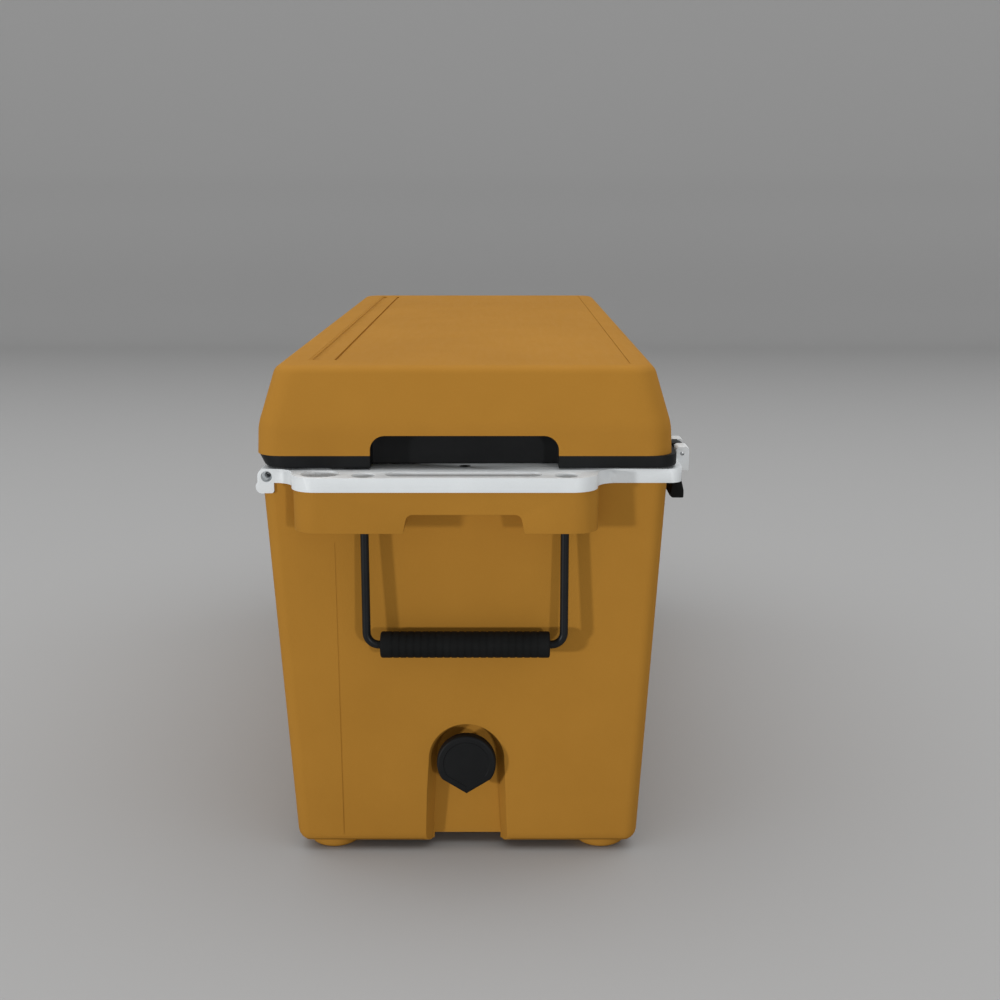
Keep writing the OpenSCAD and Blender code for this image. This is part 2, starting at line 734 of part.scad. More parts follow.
module bail_rod_near() color(black) placed() bail_rod();
module bail_rod_far() color(black) placed() mirror([1, 0, 0]) bail_rod();
module bail_grip_near() color(rubber) placed() bail_grip();
module bail_grip_far() color(rubber) placed() mirror([1, 0, 0]) bail_grip();

// Tyre ring with round shoulders, on the side given by its sign.
module wheel_ring(side, r_in, r_out, from, to) placed() translate([axle_x, 0, axle_z])
    rotate([-90 * side, 0, 0]) translate([0, 0, from]) rotate_extrude() difference() {
        round_rect(r_in, r_out, 0, to - from, tyre_round);
        square([r_in, cut]);
    }

module tyre(side) color(rubber) wheel_ring(side, hub_r, wheel_r, wheel_in, wheel_out);

module wheel_hub(side) color(black) placed() translate([axle_x, 0, axle_z])
    rotate([-90 * side, 0, 0]) difference() {
        union() {
            translate([0, 0, wheel_in + hub_sink]) cylinder(r = hub_r, h = wheel_wid - 2 * hub_sink);
            translate([0, 0, wheel_in]) cylinder(r = bush_r + sleeve_rim, h = wheel_wid);
        }
        translate([0, 0, wheel_out - hub_sink - spoke_deep]) difference() {
            cylinder(r = hub_r - hub_rim, h = hub_sink + spoke_deep);
            translate([0, 0, -cut]) cylinder(r = bush_r + sleeve_rim, h = wheel_wid);
            for (a = [0:60:300]) rotate(a) translate([0, -spoke_half, -cut])
                cube([hub_r, 2 * spoke_half, spoke_deep]);
        }
        translate([0, 0, wheel_in - cut]) cylinder(r = bush_r, h = wheel_wid + 2 * cut);
    }

module wheel_bush(side) color(white) placed() translate([axle_x, 0, axle_z])
    rotate([-90 * side, 0, 0]) translate([0, 0, wheel_in]) difference() {
        cylinder(r = bush_r, h = wheel_wid);
        translate([0, 0, -cut]) cylinder(r = axle_d / 2 + run_fit, h = wheel_wid + 2 * cut);
    }

module tyre_left() tyre(1);
module tyre_right() tyre(-1);
module wheel_hub_left() wheel_hub(1);
module wheel_hub_right() wheel_hub(-1);
module wheel_bush_left() wheel_bush(1);
module wheel_bush_right() wheel_bush(-1);

// Face of the cap: round above, with two flats that meet in a point below.
module cap_face() intersection() {
    union() {
        circle(cap_r);
        polygon([[0, 0], [-cap_r / 3, -cap_d], [cap_r / 3, -cap_d]]);
    }
    polygon([[-cap_d, cap_d], [cap_d, cap_d], [cap_d, -tip_drop + cap_d * tip_slope],
        [0, -tip_drop], [-cap_d, -tip_drop + cap_d * tip_slope]]);
}

module drain_cap() color(black) placed() translate([0, 0, drain_z]) difference() {
    translate([-cap_front, 0, 0]) rotate([90, 0, 90]) linear_extrude(cap_front - cap_back) cap_face();
    rod_x(spout_r + run_fit, -channel_x - spout_out - washer_back, 0);
    rod_x(spout_r + spout_rim + cut, -channel_x - 2 * washer_back, 0);
}

module cap_washer() color(rubber) placed() translate([0, 0, drain_z]) difference() {
    rod_x(spout_r, -channel_x - spout_out - washer_back, -channel_x - spout_out - soft_gap);
    rod_x(drain_bore / 2, -channel_x - spout_out - washer_back - cut, 0);
}

outer_shell();
body_foam();
inner_liner();
rim_frame();
rim_screws();
hinge_pin();
bail_clips();
bail_clip_screws();
drain_spout();
drain_nut();
drain_gasket();
wheel_axle();
axle_washers();
axle_caps();
lid_shell();
lid_foam();
lid_liner();
lid_gasket();
lid_screws();
latch_brackets();
latch_pins();
latch_arm_near();
latch_arm_far();
latch_pull_near();
latch_pull_far();
bail_rod_near();
bail_rod_far();
bail_grip_near();
bail_grip_far();
tyre_left();
tyre_right();
wheel_hub_left();
wheel_hub_right();
wheel_bush_left();
wheel_bush_right();
drain_cap();
cap_washer();
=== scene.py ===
import json
import math

import bmesh
import bpy
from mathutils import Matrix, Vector

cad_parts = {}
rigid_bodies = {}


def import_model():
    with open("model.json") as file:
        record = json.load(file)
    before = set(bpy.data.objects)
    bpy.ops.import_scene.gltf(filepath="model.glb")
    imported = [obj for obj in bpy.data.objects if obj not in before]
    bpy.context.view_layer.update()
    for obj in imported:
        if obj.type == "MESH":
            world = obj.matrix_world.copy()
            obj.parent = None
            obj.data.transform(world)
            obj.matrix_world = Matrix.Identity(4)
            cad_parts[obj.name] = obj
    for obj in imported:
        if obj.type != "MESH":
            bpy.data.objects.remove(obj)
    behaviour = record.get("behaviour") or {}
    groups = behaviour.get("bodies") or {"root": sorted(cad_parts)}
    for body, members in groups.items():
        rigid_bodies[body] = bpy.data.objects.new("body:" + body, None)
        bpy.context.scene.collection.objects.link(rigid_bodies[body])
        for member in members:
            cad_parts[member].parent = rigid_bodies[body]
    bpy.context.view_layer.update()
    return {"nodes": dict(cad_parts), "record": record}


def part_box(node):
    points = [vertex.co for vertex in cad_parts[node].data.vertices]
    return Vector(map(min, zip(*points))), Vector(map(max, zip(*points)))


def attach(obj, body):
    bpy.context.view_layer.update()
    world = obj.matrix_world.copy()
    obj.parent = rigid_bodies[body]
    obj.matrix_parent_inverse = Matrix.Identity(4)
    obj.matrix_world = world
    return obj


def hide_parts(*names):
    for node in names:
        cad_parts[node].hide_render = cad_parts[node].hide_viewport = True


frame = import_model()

mm = 0.001
spoutLow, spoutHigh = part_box("drain_spout")
midY = (spoutLow.y + spoutHigh.y) / 2  # the drain sits on the body's middle line
mergeGap = 0.01  # points closer than this are one point
turnX = (0, math.pi / 2, 0)  # lays a cylinder along X
turnY = (math.pi / 2, 0, 0)  # lays a cylinder along Y


# Modelling helpers. Every size below is in millimetres from the body's middle line.

def deselectAll():
    if bpy.context.mode != "OBJECT":
        bpy.ops.object.mode_set(mode="OBJECT")
    bpy.ops.object.select_all(action="DESELECT")


def makeActive(obj):
    deselectAll()
    obj.select_set(True)
    bpy.context.view_layer.objects.active = obj


def freeze(obj, name):  # puts the place into the mesh
    makeActive(obj)
    bpy.ops.object.transform_apply(location=True, rotation=True, scale=True)
    obj.name = name
    obj.data.name = name
    return obj


def placed(x, y, z):  # a place in millimetres becomes one in the frame's metres
    return (x * mm, y * mm + midY, z * mm)


def inMm(point):
    return (point.x / mm, (point.y - midY) / mm, point.z / mm)


def block(name, x, y, z):
    deselectAll()
    middle = placed((x[0] + x[1]) / 2, (y[0] + y[1]) / 2, (z[0] + z[1]) / 2)
    bpy.ops.mesh.primitive_cube_add(size=1, location=middle)
    obj = bpy.context.object
    obj.scale = ((x[1] - x[0]) * mm, (y[1] - y[0]) * mm, (z[1] - z[0]) * mm)
    return freeze(obj, name)


def drum(name, middle, radius, length, turn=(0, 0, 0), sides=64):
    deselectAll()
    bpy.ops.mesh.primitive_cylinder_add(vertices=sides, radius=radius * mm, depth=length * mm,
                                        location=placed(*middle), rotation=turn)
    return freeze(bpy.context.object, name)


def startEdit(obj, kind="EDGE", take="DESELECT"):
    makeActive(obj)
    bpy.ops.object.mode_set(mode="EDIT")
    bpy.ops.mesh.select_mode(type=kind)
    bpy.ops.mesh.select_all(action=take)


def endEdit():
    bpy.ops.object.mode_set(mode="OBJECT")


def pullOut(x, y, z):  # extrudes what is selected, in metres
    bpy.ops.mesh.extrude_region_move(TRANSFORM_OT_translate={"value": (x, y, z)})


def sinkIn(depth):
    bpy.ops.mesh.extrude_region_shrink_fatten(TRANSFORM_OT_shrink_fatten={"value": -depth * mm})


def applySkin(obj, thickness, offset, even=False):  # gives a shell its wall
    makeActive(obj)
    skin = obj.modifiers.new("skin", "SOLIDIFY")
    skin.thickness = thickness * mm
    skin.offset = offset
    skin.use_even_offset = even
    bpy.ops.object.modifier_apply(modifier=skin.name)


def pick(obj, kind, test):  # selects by place and direction; the test gets both in millimetres
    startEdit(obj, kind)
    mesh = bmesh.from_edit_mesh(obj.data)
    found = 0
    for part in {"VERT": mesh.verts, "EDGE": mesh.edges, "FACE": mesh.faces}[kind]:
        if kind == "VERT":
            spots, way = [part.co], part.normal
        elif kind == "EDGE":
            spots = [v.co for v in part.verts]
            way = (spots[1] - spots[0]).normalized()
        else:
            spots, way = [part.calc_center_median()], part.normal
        if test([inMm(s) for s in spots], way):
            part.select_set(True)
            found += 1
    bmesh.update_edit_mesh(obj.data)
    return found


def roundPicked(obj, test, width, steps=4):
    if pick(obj, "EDGE", test):
        bpy.ops.mesh.bevel(offset=width * mm, segments=steps, affect="EDGES", clamp_overlap=True)
    endEdit()


def isUpright(spots, way):
    return abs(way.z) > 0.9


def roundSharp(obj, width, steps=2, angle=40, test=None):  # rounds what is still sharp
    startEdit(obj, take="SELECT")
    bpy.ops.mesh.remove_doubles(threshold=2 * mergeGap * mm)
    bpy.ops.mesh.dissolve_limited(angle_limit=math.radians(0.4))  # only faces that lie flat together
    bpy.ops.mesh.select_all(action="DESELECT")
    bpy.ops.mesh.edges_select_sharp(sharpness=math.radians(angle))
    if test:
        mesh = bmesh.from_edit_mesh(obj.data)
        for edge in mesh.edges:
            if edge.select and not test([inMm(v.co) for v in edge.verts]):
                edge.select_set(False)
        bmesh.update_edit_mesh(obj.data)
    bpy.ops.mesh.bevel(offset=width * mm, segments=steps, affect="EDGES", clamp_overlap=True)
    endEdit()


def stretch(obj, test, scale, centre):  # scales what the test picks about a point
    pick(obj, "VERT", test)
    bpy.ops.transform.resize(value=scale, center_override=placed(*centre))
    endEdit()


def combine(obj, other, how="DIFFERENCE"):
    makeActive(obj)
    step = obj.modifiers.new("join", "BOOLEAN")
    step.operation = how
    step.solver = "EXACT"
    step.object = other
    bpy.ops.object.modifier_apply(modifier=step.name)
    bpy.data.objects.remove(other)
    return obj


def copyOf(obj, name):
    new = obj.copy()
    new.data = obj.data.copy()
    bpy.context.scene.collection.objects.link(new)
    new.name = name
    new.data.name = name
    return new


def outward(obj):  # a mirrored or spun shape may be inside out
    startEdit(obj, "FACE", "SELECT")
    bpy.ops.mesh.remove_doubles(threshold=mergeGap * mm)
    bpy.ops.mesh.normals_make_consistent(inside=False)
    endEdit()


def twin(obj, name, axis=0):  # mirrored copy across the middle of X or of Y
    new = copyOf(obj, name)
    makeActive(new)
    scale = [1, 1, 1]
    scale[axis] = -1
    new.scale = scale
    if axis == 1:
        new.location.y = 2 * midY
    freeze(new, name)
    outward(new)
    return new


def softCopy(node, name, width, steps=2, angle=38):  # a CAD shape with its edges broken
    new = copyOf(frame["nodes"][node], name)
    for key in list(new.keys()):
        del new[key]
    new.parent = None
    roundSharp(new, width, steps, angle)
    return new


def finishPiece(obj, node, slot=None):  # the CAD node gives its body, and its slot if none is named
    slot = slot or slotOf[node]
    makeActive(obj)
    obj.data.materials.clear()
    obj.data.materials.append(looks[slot])
    bpy.ops.object.shade_smooth_by_angle(angle=math.radians(35))
    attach(obj, frame["nodes"][node].parent.name.split(":")[1])
    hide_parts(node)
    deselectAll()


# Materials: every finish is built from the same few layers.

def linear(hexColour):
    parts = [int(hexColour[i:i + 2], 16) / 255 for i in (1, 3, 5)]
    return tuple(p / 12.92 if p <= 0.04045 else ((p + 0.055) / 1.055) ** 2.4 for p in parts) + (1,)


def addNode(tree, kind, settings=None, links=None):
    node = tree.nodes.new("ShaderNode" + kind)
    for key, value in (settings or {}).items():
        if isinstance(key, int) or key in node.inputs:
            node.inputs[key].default_value = value
        else:
            setattr(node, key, value)
    for key, source in (links or {}).items():
        tree.links.new(source, node.inputs[key])
    return node


def newMaterial(name):
    material = bpy.data.materials.new(name)
    material.use_nodes = True
    tree = material.node_tree
    tree.nodes.clear()
    shader = addNode(tree, "BsdfPrincipled")
    addNode(tree, "OutputMaterial", links={"Surface": shader.outputs["BSDF"]})
    where = addNode(tree, "TexCoord").outputs["Object"]
    return material, tree, shader, where


def perMm(size):  # texture scale for a pattern of that size in millimetres
    return 1 / (size * mm)


scratchWay = (1.0, 9.0, 5.0)  # scratches are drawn out along the length
scratchMm = 60


def surface(name, look):  # colour drift, moulded grain, rubbed patches and fine scratches
    material, tree, shader, where = newMaterial(name)
    drift = addNode(tree, "TexNoise",
                    {"Scale": perMm(look["driftMm"]), "Detail": 4.0, "Roughness": 0.6},
                    {"Vector": where}).outputs["Fac"]
    fine = addNode(tree, "TexNoise", {"Scale": perMm(look["grainMm"]), "Detail": 2.0},
                   {"Vector": where}).outputs["Fac"]
    tones = addNode(tree, "ValToRGB", links={"Fac": drift})
    tones.color_ramp.elements[0].position, tones.color_ramp.elements[1].position = 0.34, 0.68
    tones.color_ramp.elements[0].color = linear(look["deep"])
    tones.color_ramp.elements[1].color = linear(look["light"])
    speck = addNode(tree, "MapRange",
                    {"From Min": 0.3, "From Max": 0.75, "To Min": 0.0, "To Max": look.get("speck", 0.12)},
                    {"Value": fine})
    speckled = addNode(tree, "Mix", {"data_type": "RGBA", 7: linear(look["grainTone"])},
                       {0: speck.outputs["Result"], 6: tones.outputs["Color"]})
    drawnOut = addNode(tree, "Mapping", {"Scale": scratchWay}, {"Vector": where})
    scratch = addNode(tree, "TexNoise",
                      {"Scale": perMm(scratchMm), "Detail": 6.0, "Roughness": 0.75},
                      {"Vector": drawnOut.outputs["Vector"]})
    rubbed = addNode(tree, "MapRange",
                     {"From Min": 0.6, "From Max": 0.78, "To Min": 0.0, "To Max": look["scuff"]},
                     {"Value": scratch.outputs["Fac"]})
    worn = addNode(tree, "Mix", {"data_type": "RGBA", 7: linear(look["worn"])},
                   {0: rubbed.outputs["Result"], 6: speckled.outputs[2]})
    tree.links.new(worn.outputs[2], shader.inputs["Base Color"])
    smooth, dull = look["rough"]
    gloss = addNode(tree, "MapRange",
                    {"From Min": 0.3, "From Max": 0.7, "To Min": smooth, "To Max": dull},
                    {"Value": scratch.outputs["Fac"]})
    tree.links.new(gloss.outputs["Result"], shader.inputs["Roughness"])
    wave = addNode(tree, "TexNoise", {"Scale": perMm(look["waveMm"]), "Detail": 1.0},
                   {"Vector": where})
    slow = addNode(tree, "Bump", {"Strength": 0.5, "Distance": look["waveDeep"] * mm},
                   {"Height": wave.outputs["Fac"]})
    bump = addNode(tree, "Bump", {"Strength": 0.5, "Distance": look["grainDeep"] * mm},
                   {"Height": fine, "Normal": slow.outputs["Normal"]})
    tree.links.new(bump.outputs["Normal"], shader.inputs["Normal"])
    shader.inputs["IOR"].default_value = look.get("ior", 1.5)
    shader.inputs["Specular IOR Level"].default_value = look.get("shine", 0.25)
    shader.inputs["Metallic"].default_value = look.get("metal", 0.0)
    if "coat" in look:
        shader.inputs["Coat Weight"].default_value = look["coat"]
        shader.inputs["Coat Roughness"].default_value = 0.3
    return material


# Rotomoulded polyethylene: a satin skin, even amber with a faint waxy drift and a fine pebble.
amberPolyethylene = surface("amberPolyethylene", {
    "light": "#AB7A30", "deep": "#A5752D", "grainTone": "#9A6C28", "worn": "#B68843", "shine": 0.12,
    "driftMm": 160, "grainMm": 1.6, "grainDeep": 0.12, "rough": (0.62, 0.74), "scuff": 0.10,
    "waveMm": 55, "waveDeep": 0.25, "ior": 1.28})

# Injection moulded white HDPE: soft gloss with a little grey in its grain.
whitePolyethylene = surface("whitePolyethylene", {
    "light": "#E0E4E6", "deep": "#D7DBDD", "grainTone": "#C3C7C8", "worn": "#EAEBE9",
    "driftMm": 90, "grainMm": 1.2, "grainDeep": 0.05, "rough": (0.32, 0.46), "scuff": 0.12,
    "waveMm": 30, "waveDeep": 0.06})

# Food liner in the same resin, blown smooth: glossier, cooler, with a slight orange peel.
linerPolyethylene = surface("linerPolyethylene", {
    "light": "#F0F2F1", "deep": "#E6EAE9", "grainTone": "#D9DDDC", "worn": "#D2D2CC",
    "driftMm": 120, "grainMm": 4.0, "grainDeep": 0.05, "rough": (0.22, 0.34), "scuff": 0.08,
    "waveMm": 60, "waveDeep": 0.2})

# Glass-filled nylon, spark-eroded mould: near black with a matte grain that greys where rubbed.
blackNylon = surface("blackNylon", {
    "light": "#191A1B", "deep": "#131415", "grainTone": "#212223", "worn": "#2E3031", "shine": 0.12,
    "driftMm": 50, "grainMm": 0.9, "grainDeep": 0.06, "rough": (0.42, 0.58), "scuff": 0.18,
    "waveMm": 25, "waveDeep": 0.05, "speck": 0.2})

# Moulded EPDM rubber: deep matte black with a dusty bloom.
epdmRubber = surface("epdmRubber", {
    "light": "#151616", "deep": "#0F1010", "grainTone": "#1F1F1F", "worn": "#2A2A29", "shine": 0.1,
    "driftMm": 35, "grainMm": 0.8, "grainDeep": 0.05, "rough": (0.62, 0.8), "scuff": 0.25,
    "waveMm": 18, "waveDeep": 0.05, "speck": 0.25})

# Tyre tread compound: charcoal, with dry dust held in its pores.
treadRubber = surface("treadRubber", {
    "light": "#222222", "deep": "#161616", "grainTone": "#3A3835", "worn": "#4F4B45",
    "driftMm": 25, "grainMm": 1.4, "grainDeep": 0.12, "rough": (0.7, 0.88), "scuff": 0.35,
    "waveMm": 12, "waveDeep": 0.08, "speck": 0.3})

# Powder-coated steel rod: black with a fine orange peel and a low sheen.
powderSteel = surface("powderSteel", {
    "light": "#17191B", "deep": "#121416", "grainTone": "#1C1F21", "worn": "#2E3133", "shine": 0.15,
    "driftMm": 30, "grainMm": 1.0, "grainDeep": 0.05, "rough": (0.34, 0.46), "scuff": 0.1,
    "waveMm": 8, "waveDeep": 0.03, "coat": 0.05})

# Zinc-plated steel: bright grey with a spangled, slightly hazed plating.
zincSteel = surface("zincSteel", {
    "light": "#B8BABC", "deep": "#8F9294", "grainTone": "#7C7F80", "worn": "#D8DADB",
    "driftMm": 9, "grainMm": 0.7, "grainDeep": 0.02, "rough": (0.24, 0.42), "scuff": 0.3,
    "waveMm": 6, "waveDeep": 0.02, "metal": 1.0, "speck": 0.3, "shine": 0.5})


def pouredFoam(name):  # polyurethane foam poured between the skins: cream, with open cells whose pits are painted darker as shade
    material, tree, shader, where = newMaterial(name)
    cells = addNode(tree, "TexVoronoi", {"Scale": perMm(3.0)}, {"Vector": where})
    cloud = addNode(tree, "TexNoise", {"Scale": perMm(70), "Detail": 3.0}, {"Vector": where})
    tones = addNode(tree, "ValToRGB", links={"Fac": cloud.outputs["Fac"]})
    tones.color_ramp.elements[0].color = linear("#D9C98F")
    tones.color_ramp.elements[1].color = linear("#EADFB4")
    # painted shade: the cell pits take the darker tone
    pits = addNode(tree, "Mix", {"data_type": "RGBA", 6: linear("#B8A66C")},
                   {0: cells.outputs["Distance"], 7: tones.outputs["Color"]})
    tree.links.new(pits.outputs[2], shader.inputs["Base Color"])
    bump = addNode(tree, "Bump", {"Strength": 0.8, "Distance": 0.6 * mm},
                   {"Height": cells.outputs["Distance"]})
    tree.links.new(bump.outputs["Normal"], shader.inputs["Normal"])
    shader.inputs["Roughness"].default_value = 0.9
    return material


urethaneFoam = pouredFoam("urethaneFoam")
looks = {
    "amber_shell": amberPolyethylene, "white_plastic": whitePolyethylene, "tub_white": linerPolyethylene,
    "foam": urethaneFoam, "black_plastic": blackNylon, "black_rubber": epdmRubber, "tread": treadRubber,
    "steel": zincSteel, "black_steel": powderSteel}
slotOf = {p["node"]: p["material_slot"] for p in frame["record"]["subparts"]}
print("materials ready")


# Outer shell of the body, with its bosses, drain channel, wheel wells and feet.
# Half length, half width and height at the top and at the foot; the walls lean in between them.
shell = {"top": (479, 193.5, 390), "foot": (460.6, 172.6, 9), "corner": 14, "edge": 13, "wall": 3.5,
         "mouth": (461.5, 176), "mouthCorner": 20, "feetIn": 35, "feetR": 26, "feetTop": 28, "feetEdge": 6,
         "lowEdge": 2.6, "lowEdgeTop": 170, "creaseY": 125, "creaseHalf": 0.6, "creaseTop": 330,
         "creaseX": (475.8, 459.83), "lugRoom": (463, 490), "spoutX": 440,
         "spoutR": 12.55, "axleR": 6}
channel = {"back": 445.2, "drainZ": 103, "arch": 51, "splay": 45 / 38, "taper": 0.592, "edge": 5.5,
           "edgeBack": 451, "edgeHalf": 47, "scoopDeep": 60, "scoopHalf": 34, "scoopZ": 15}
well = {"x": 420, "z": 75, "r": 87, "inner": 122.5, "outer": 230}
boss = {"x": 522, "y": (-126, 160), "low": 350, "root": 452, "corner": 25, "rim": 3.5, "trayX": 482.5,
        "trayFloor": 372, "notchHalf": 58.5, "notchLean": 54.5 / 60.5, "notchX": 476, "notchDeep": 18,
        "notchEdge": 5, "slot": (90, 100), "slotX": (519, 486.5), "slotTop": 362.5, "pocket": (101, 121),
        "pocketX": (504, 480), "bore": (88, 118.5), "boreR": 4.1, "edge": 3.2, "pinX": 492, "pinZ": 358}


def leaningBlock(name, inset, low, high):
    topX, topY, topZ = shell["top"]
    footX, footY, footZ = shell["foot"]

    def halves(z):
        share = (topZ - z) / (topZ - footZ)
        return topX - (topX - footX) * share - inset, topY - (topY - footY) * share - inset
    wide, narrow = halves(high), halves(low)
    obj = block(name, (-wide[0], wide[0]), (-wide[1], wide[1]), (low, high))
    stretch(obj, lambda s, n: s[0][2] < low + 1, (narrow[0] / wide[0], narrow[1] / wide[1], 1), (0, 0, low))
    roundPicked(obj, isUpright, shell["corner"] - inset, 8)
    return obj


def channelCutter(grow):  # an arch on splayed legs that narrows toward its back
    back, out = -channel["back"] + grow, -500
    radius, z = channel["arch"] + grow, channel["drainZ"]
    arch = drum("arch", ((back + out) / 2, 0, z), radius, back - out, turnX, 96)
    legs = block("legs", (out, back), (-radius, radius), (0, z))
    stretch(legs, lambda s, n: s[0][2] < 1, (1, channel["splay"], 1), (0, 0, 0))
    combine(arch, legs, "UNION")
    stretch(arch, lambda s, n: s[0][0] > back - 1, (1, channel["taper"], 1), (back, 0, 0))
    stretch(arch, lambda s, n: s[0][0] > back - 1 and s[0][2] > z + 0.1, (1, 1, channel["taper"]),
            (back, 0, z))
    # a shallow scoop carries the channel under the floor
    half = channel["scoopHalf"] + grow
    scoop = block("scoop", (back - 5, back + channel["scoopDeep"]), (-half, half),
                  (-5, channel["scoopZ"] + grow))
    return combine(arch, scoop, "UNION")


def wellCutter(grow, side):  # open below, behind and at the side
    x, z, radius = well["x"], well["z"], well["r"] + grow
    inner, outer = well["inner"] - grow, well["outer"]
    span = sorted((side * inner, side * outer))
    wheelRoom = drum("wheelRoom", (x, (span[0] + span[1]) / 2, z), radius, outer - inner, turnY)
    combine(wheelRoom, block("under", (x - radius, x + 2 * radius), span, (-5, z)), "UNION")
    return combine(wheelRoom, block("behind", (x, x + 2 * radius), span, (-5, z + radius)), "UNION")


def makeBoss():  # carries the tool tray above and the bail's pins below
    low, top, x = boss["low"], shell["top"][2], boss["x"]
    front, back = boss["y"]
    rim, lean = boss["rim"], low + boss["notchDeep"]
    obj = block("boss", (-x, -boss["root"]), (front, back), (low, top))
    roundPicked(obj, lambda s, n: abs(n.z) > 0.9 and s[0][0] < 1 - x, boss["corner"], 10)
    tray = block("tray", (rim - x, -boss["trayX"]), (front + rim, back - rim), (boss["trayFloor"], top + 10))
    roundPicked(tray, isUpright, boss["corner"] - rim, 8)
    combine(obj, tray)
    half = boss["notchHalf"]
    notch = block("notch", (-x - 5, -boss["notchX"]), (-half, half), (low - 10, lean))
    stretch(notch, lambda s, n: s[0][2] > low, (1, boss["notchLean"], 1), (0, 0, lean))
    roundPicked(notch, lambda s, n: abs(n.x) > 0.9 and s[0][2] > low, boss["notchEdge"], 4)
    combine(obj, notch)
    slotX, pocketX = boss["slotX"], boss["pocketX"]
    for side in (-1, 1):
        slot, pocket, bore = (sorted(side * y for y in boss[part]) for part in ("slot", "pocket", "bore"))
        combine(obj, block("slot", (-slotX[0], -slotX[1]), slot, (low - 10, boss["slotTop"])))
        combine(obj, block("pocket", (-pocketX[0], -pocketX[1]), pocket, (low - 10, boss["pinZ"])))
        combine(obj, drum("bore", (-boss["pinX"], (bore[0] + bore[1]) / 2, boss["pinZ"]), boss["boreR"],
                          bore[1] - bore[0], turnY, 24))

    def openEdge(spots):  # not the seat of the rod's end, nor what meets the frame
        return (all(p[2] < top - 1 and not (abs(abs(p[1]) - 105) < 19 and p[0] > -519.5) for p in spots)
                and (max(p[2] for p in spots) < low + 1 or abs(spots[0][1]) < 60))
    roundSharp(obj, boss["edge"], 3, 40, openEdge)
    return obj


def makeShell():
    footX, footY, low = shell["foot"]
    high, wall = shell["top"][2], shell["wall"]
    body = leaningBlock("bodyShell", 0, low, high)
    roundPicked(body, lambda s, n: max(p[2] for p in s) < low + 0.5, shell["edge"], 5)
    nearBoss = makeBoss()
    farBoss = twin(nearBoss, "farBoss")
    combine(body, nearBoss, "UNION")
    combine(body, farBoss, "UNION")
    for side in (-1, 1):
        place = (shell["feetIn"] - footX, side * (footY - shell["feetIn"]), shell["feetTop"] / 2)
        foot = drum("foot", place, shell["feetR"], shell["feetTop"], sides=48)
        roundPicked(foot, lambda s, n: max(p[2] for p in s) < 0.5, shell["feetEdge"], 4)
        combine(body, foot, "UNION")
    cavity = leaningBlock("cavity", wall, low + wall, high - 4)
    for side in (-1, 1):
        combine(cavity, wellCutter(wall, side))
        combine(body, wellCutter(0, side))
    combine(cavity, channelCutter(wall))
    combine(body, channelCutter(0))
    roundSharp(body, channel["edge"], 5, 42, lambda spots: all(
        p[0] < -channel["edgeBack"] and abs(p[1]) < channel["edgeHalf"] for p in spots))
    roundSharp(body, shell["lowEdge"], 3, 42, lambda spots: max(p[2] for p in spots) < shell["lowEdgeTop"])
    mouthX, mouthY = shell["mouth"]
    mouth = block("mouth", (-mouthX, mouthX), (-mouthY, mouthY), (high - 6, high + 2))
    roundPicked(mouth, isUpright, shell["mouthCorner"], 6)
    combine(cavity, mouth, "UNION")
    combine(body, cavity)
    # fine parting crease down the leaning end wall
    half, (upper, lower), out = shell["creaseHalf"], shell["creaseX"], 500
    crease = block("crease", (-out, -upper), (shell["creaseY"] - half, shell["creaseY"] + half),
                   (low - 5, shell["creaseTop"]))
    stretch(crease, lambda s, n: s[0][0] > -out + 1 and s[0][2] < low,
            ((out - lower) / (out - upper), 1, 1), (-out, 0, 0))
    combine(body, crease)
    for end in (-1, 1):
        lug = sorted(end * x for x in shell["lugRoom"])
        combine(body, block("lugRoom", lug, (181, 204), (high - 10, high + 2)))
    combine(body, drum("spoutHole", (-shell["spoutX"], 0, channel["drainZ"]), shell["spoutR"], 30, turnX))
    combine(body, drum("axleHole", (well["x"], 0, well["z"]), shell["axleR"], 2 * well["outer"],
                       turnY, 32))
    return body


bodyShell = makeShell()
finishPiece(bodyShell, "outer_shell")
print("shell ready", len(bodyShell.data.polygons))


# White frame round the mouth, with a tool shelf at each end.
rim = {"x": 481, "front": -207, "back": 195.5, "low": 390, "high": 403.5, "corner": 12,
       "shelfX": 526, "shelfY": (-125, 161), "shelfCorner": 25, "fillet": 19.5, "edge": 2.2,
       "hingeY": 188, "hingeZ": 396, "hingeHalf": 463, "lugY": (181, 196.5), "under": 380,
       "mouth": (437, 155.5), "mouthCorner": 20, "rollR": 8.5, "knuckleR": 11, "knuckleLong": 40,
       "knuckles": (-260.5, -179.5, 179.5, 260.5), "rooms": (-220, 220, -440.5, 440.5), "pinR": 3.05,
       "toolX": 512, "toolY": (93, -95), "toolR": 11, "slotX": (497, 517), "slotHalf": 73,
       "ovalX": (491, 519), "ovalY": (116, 152), "tieX": 466, "tieR": 5.5, "holeEdge": 0.45}


def bisectAt(obj, place, way):
    startEdit(obj, "FACE", "SELECT")
    bpy.ops.mesh.bisect(plane_co=placed(*place), plane_no=way)
    endEdit()


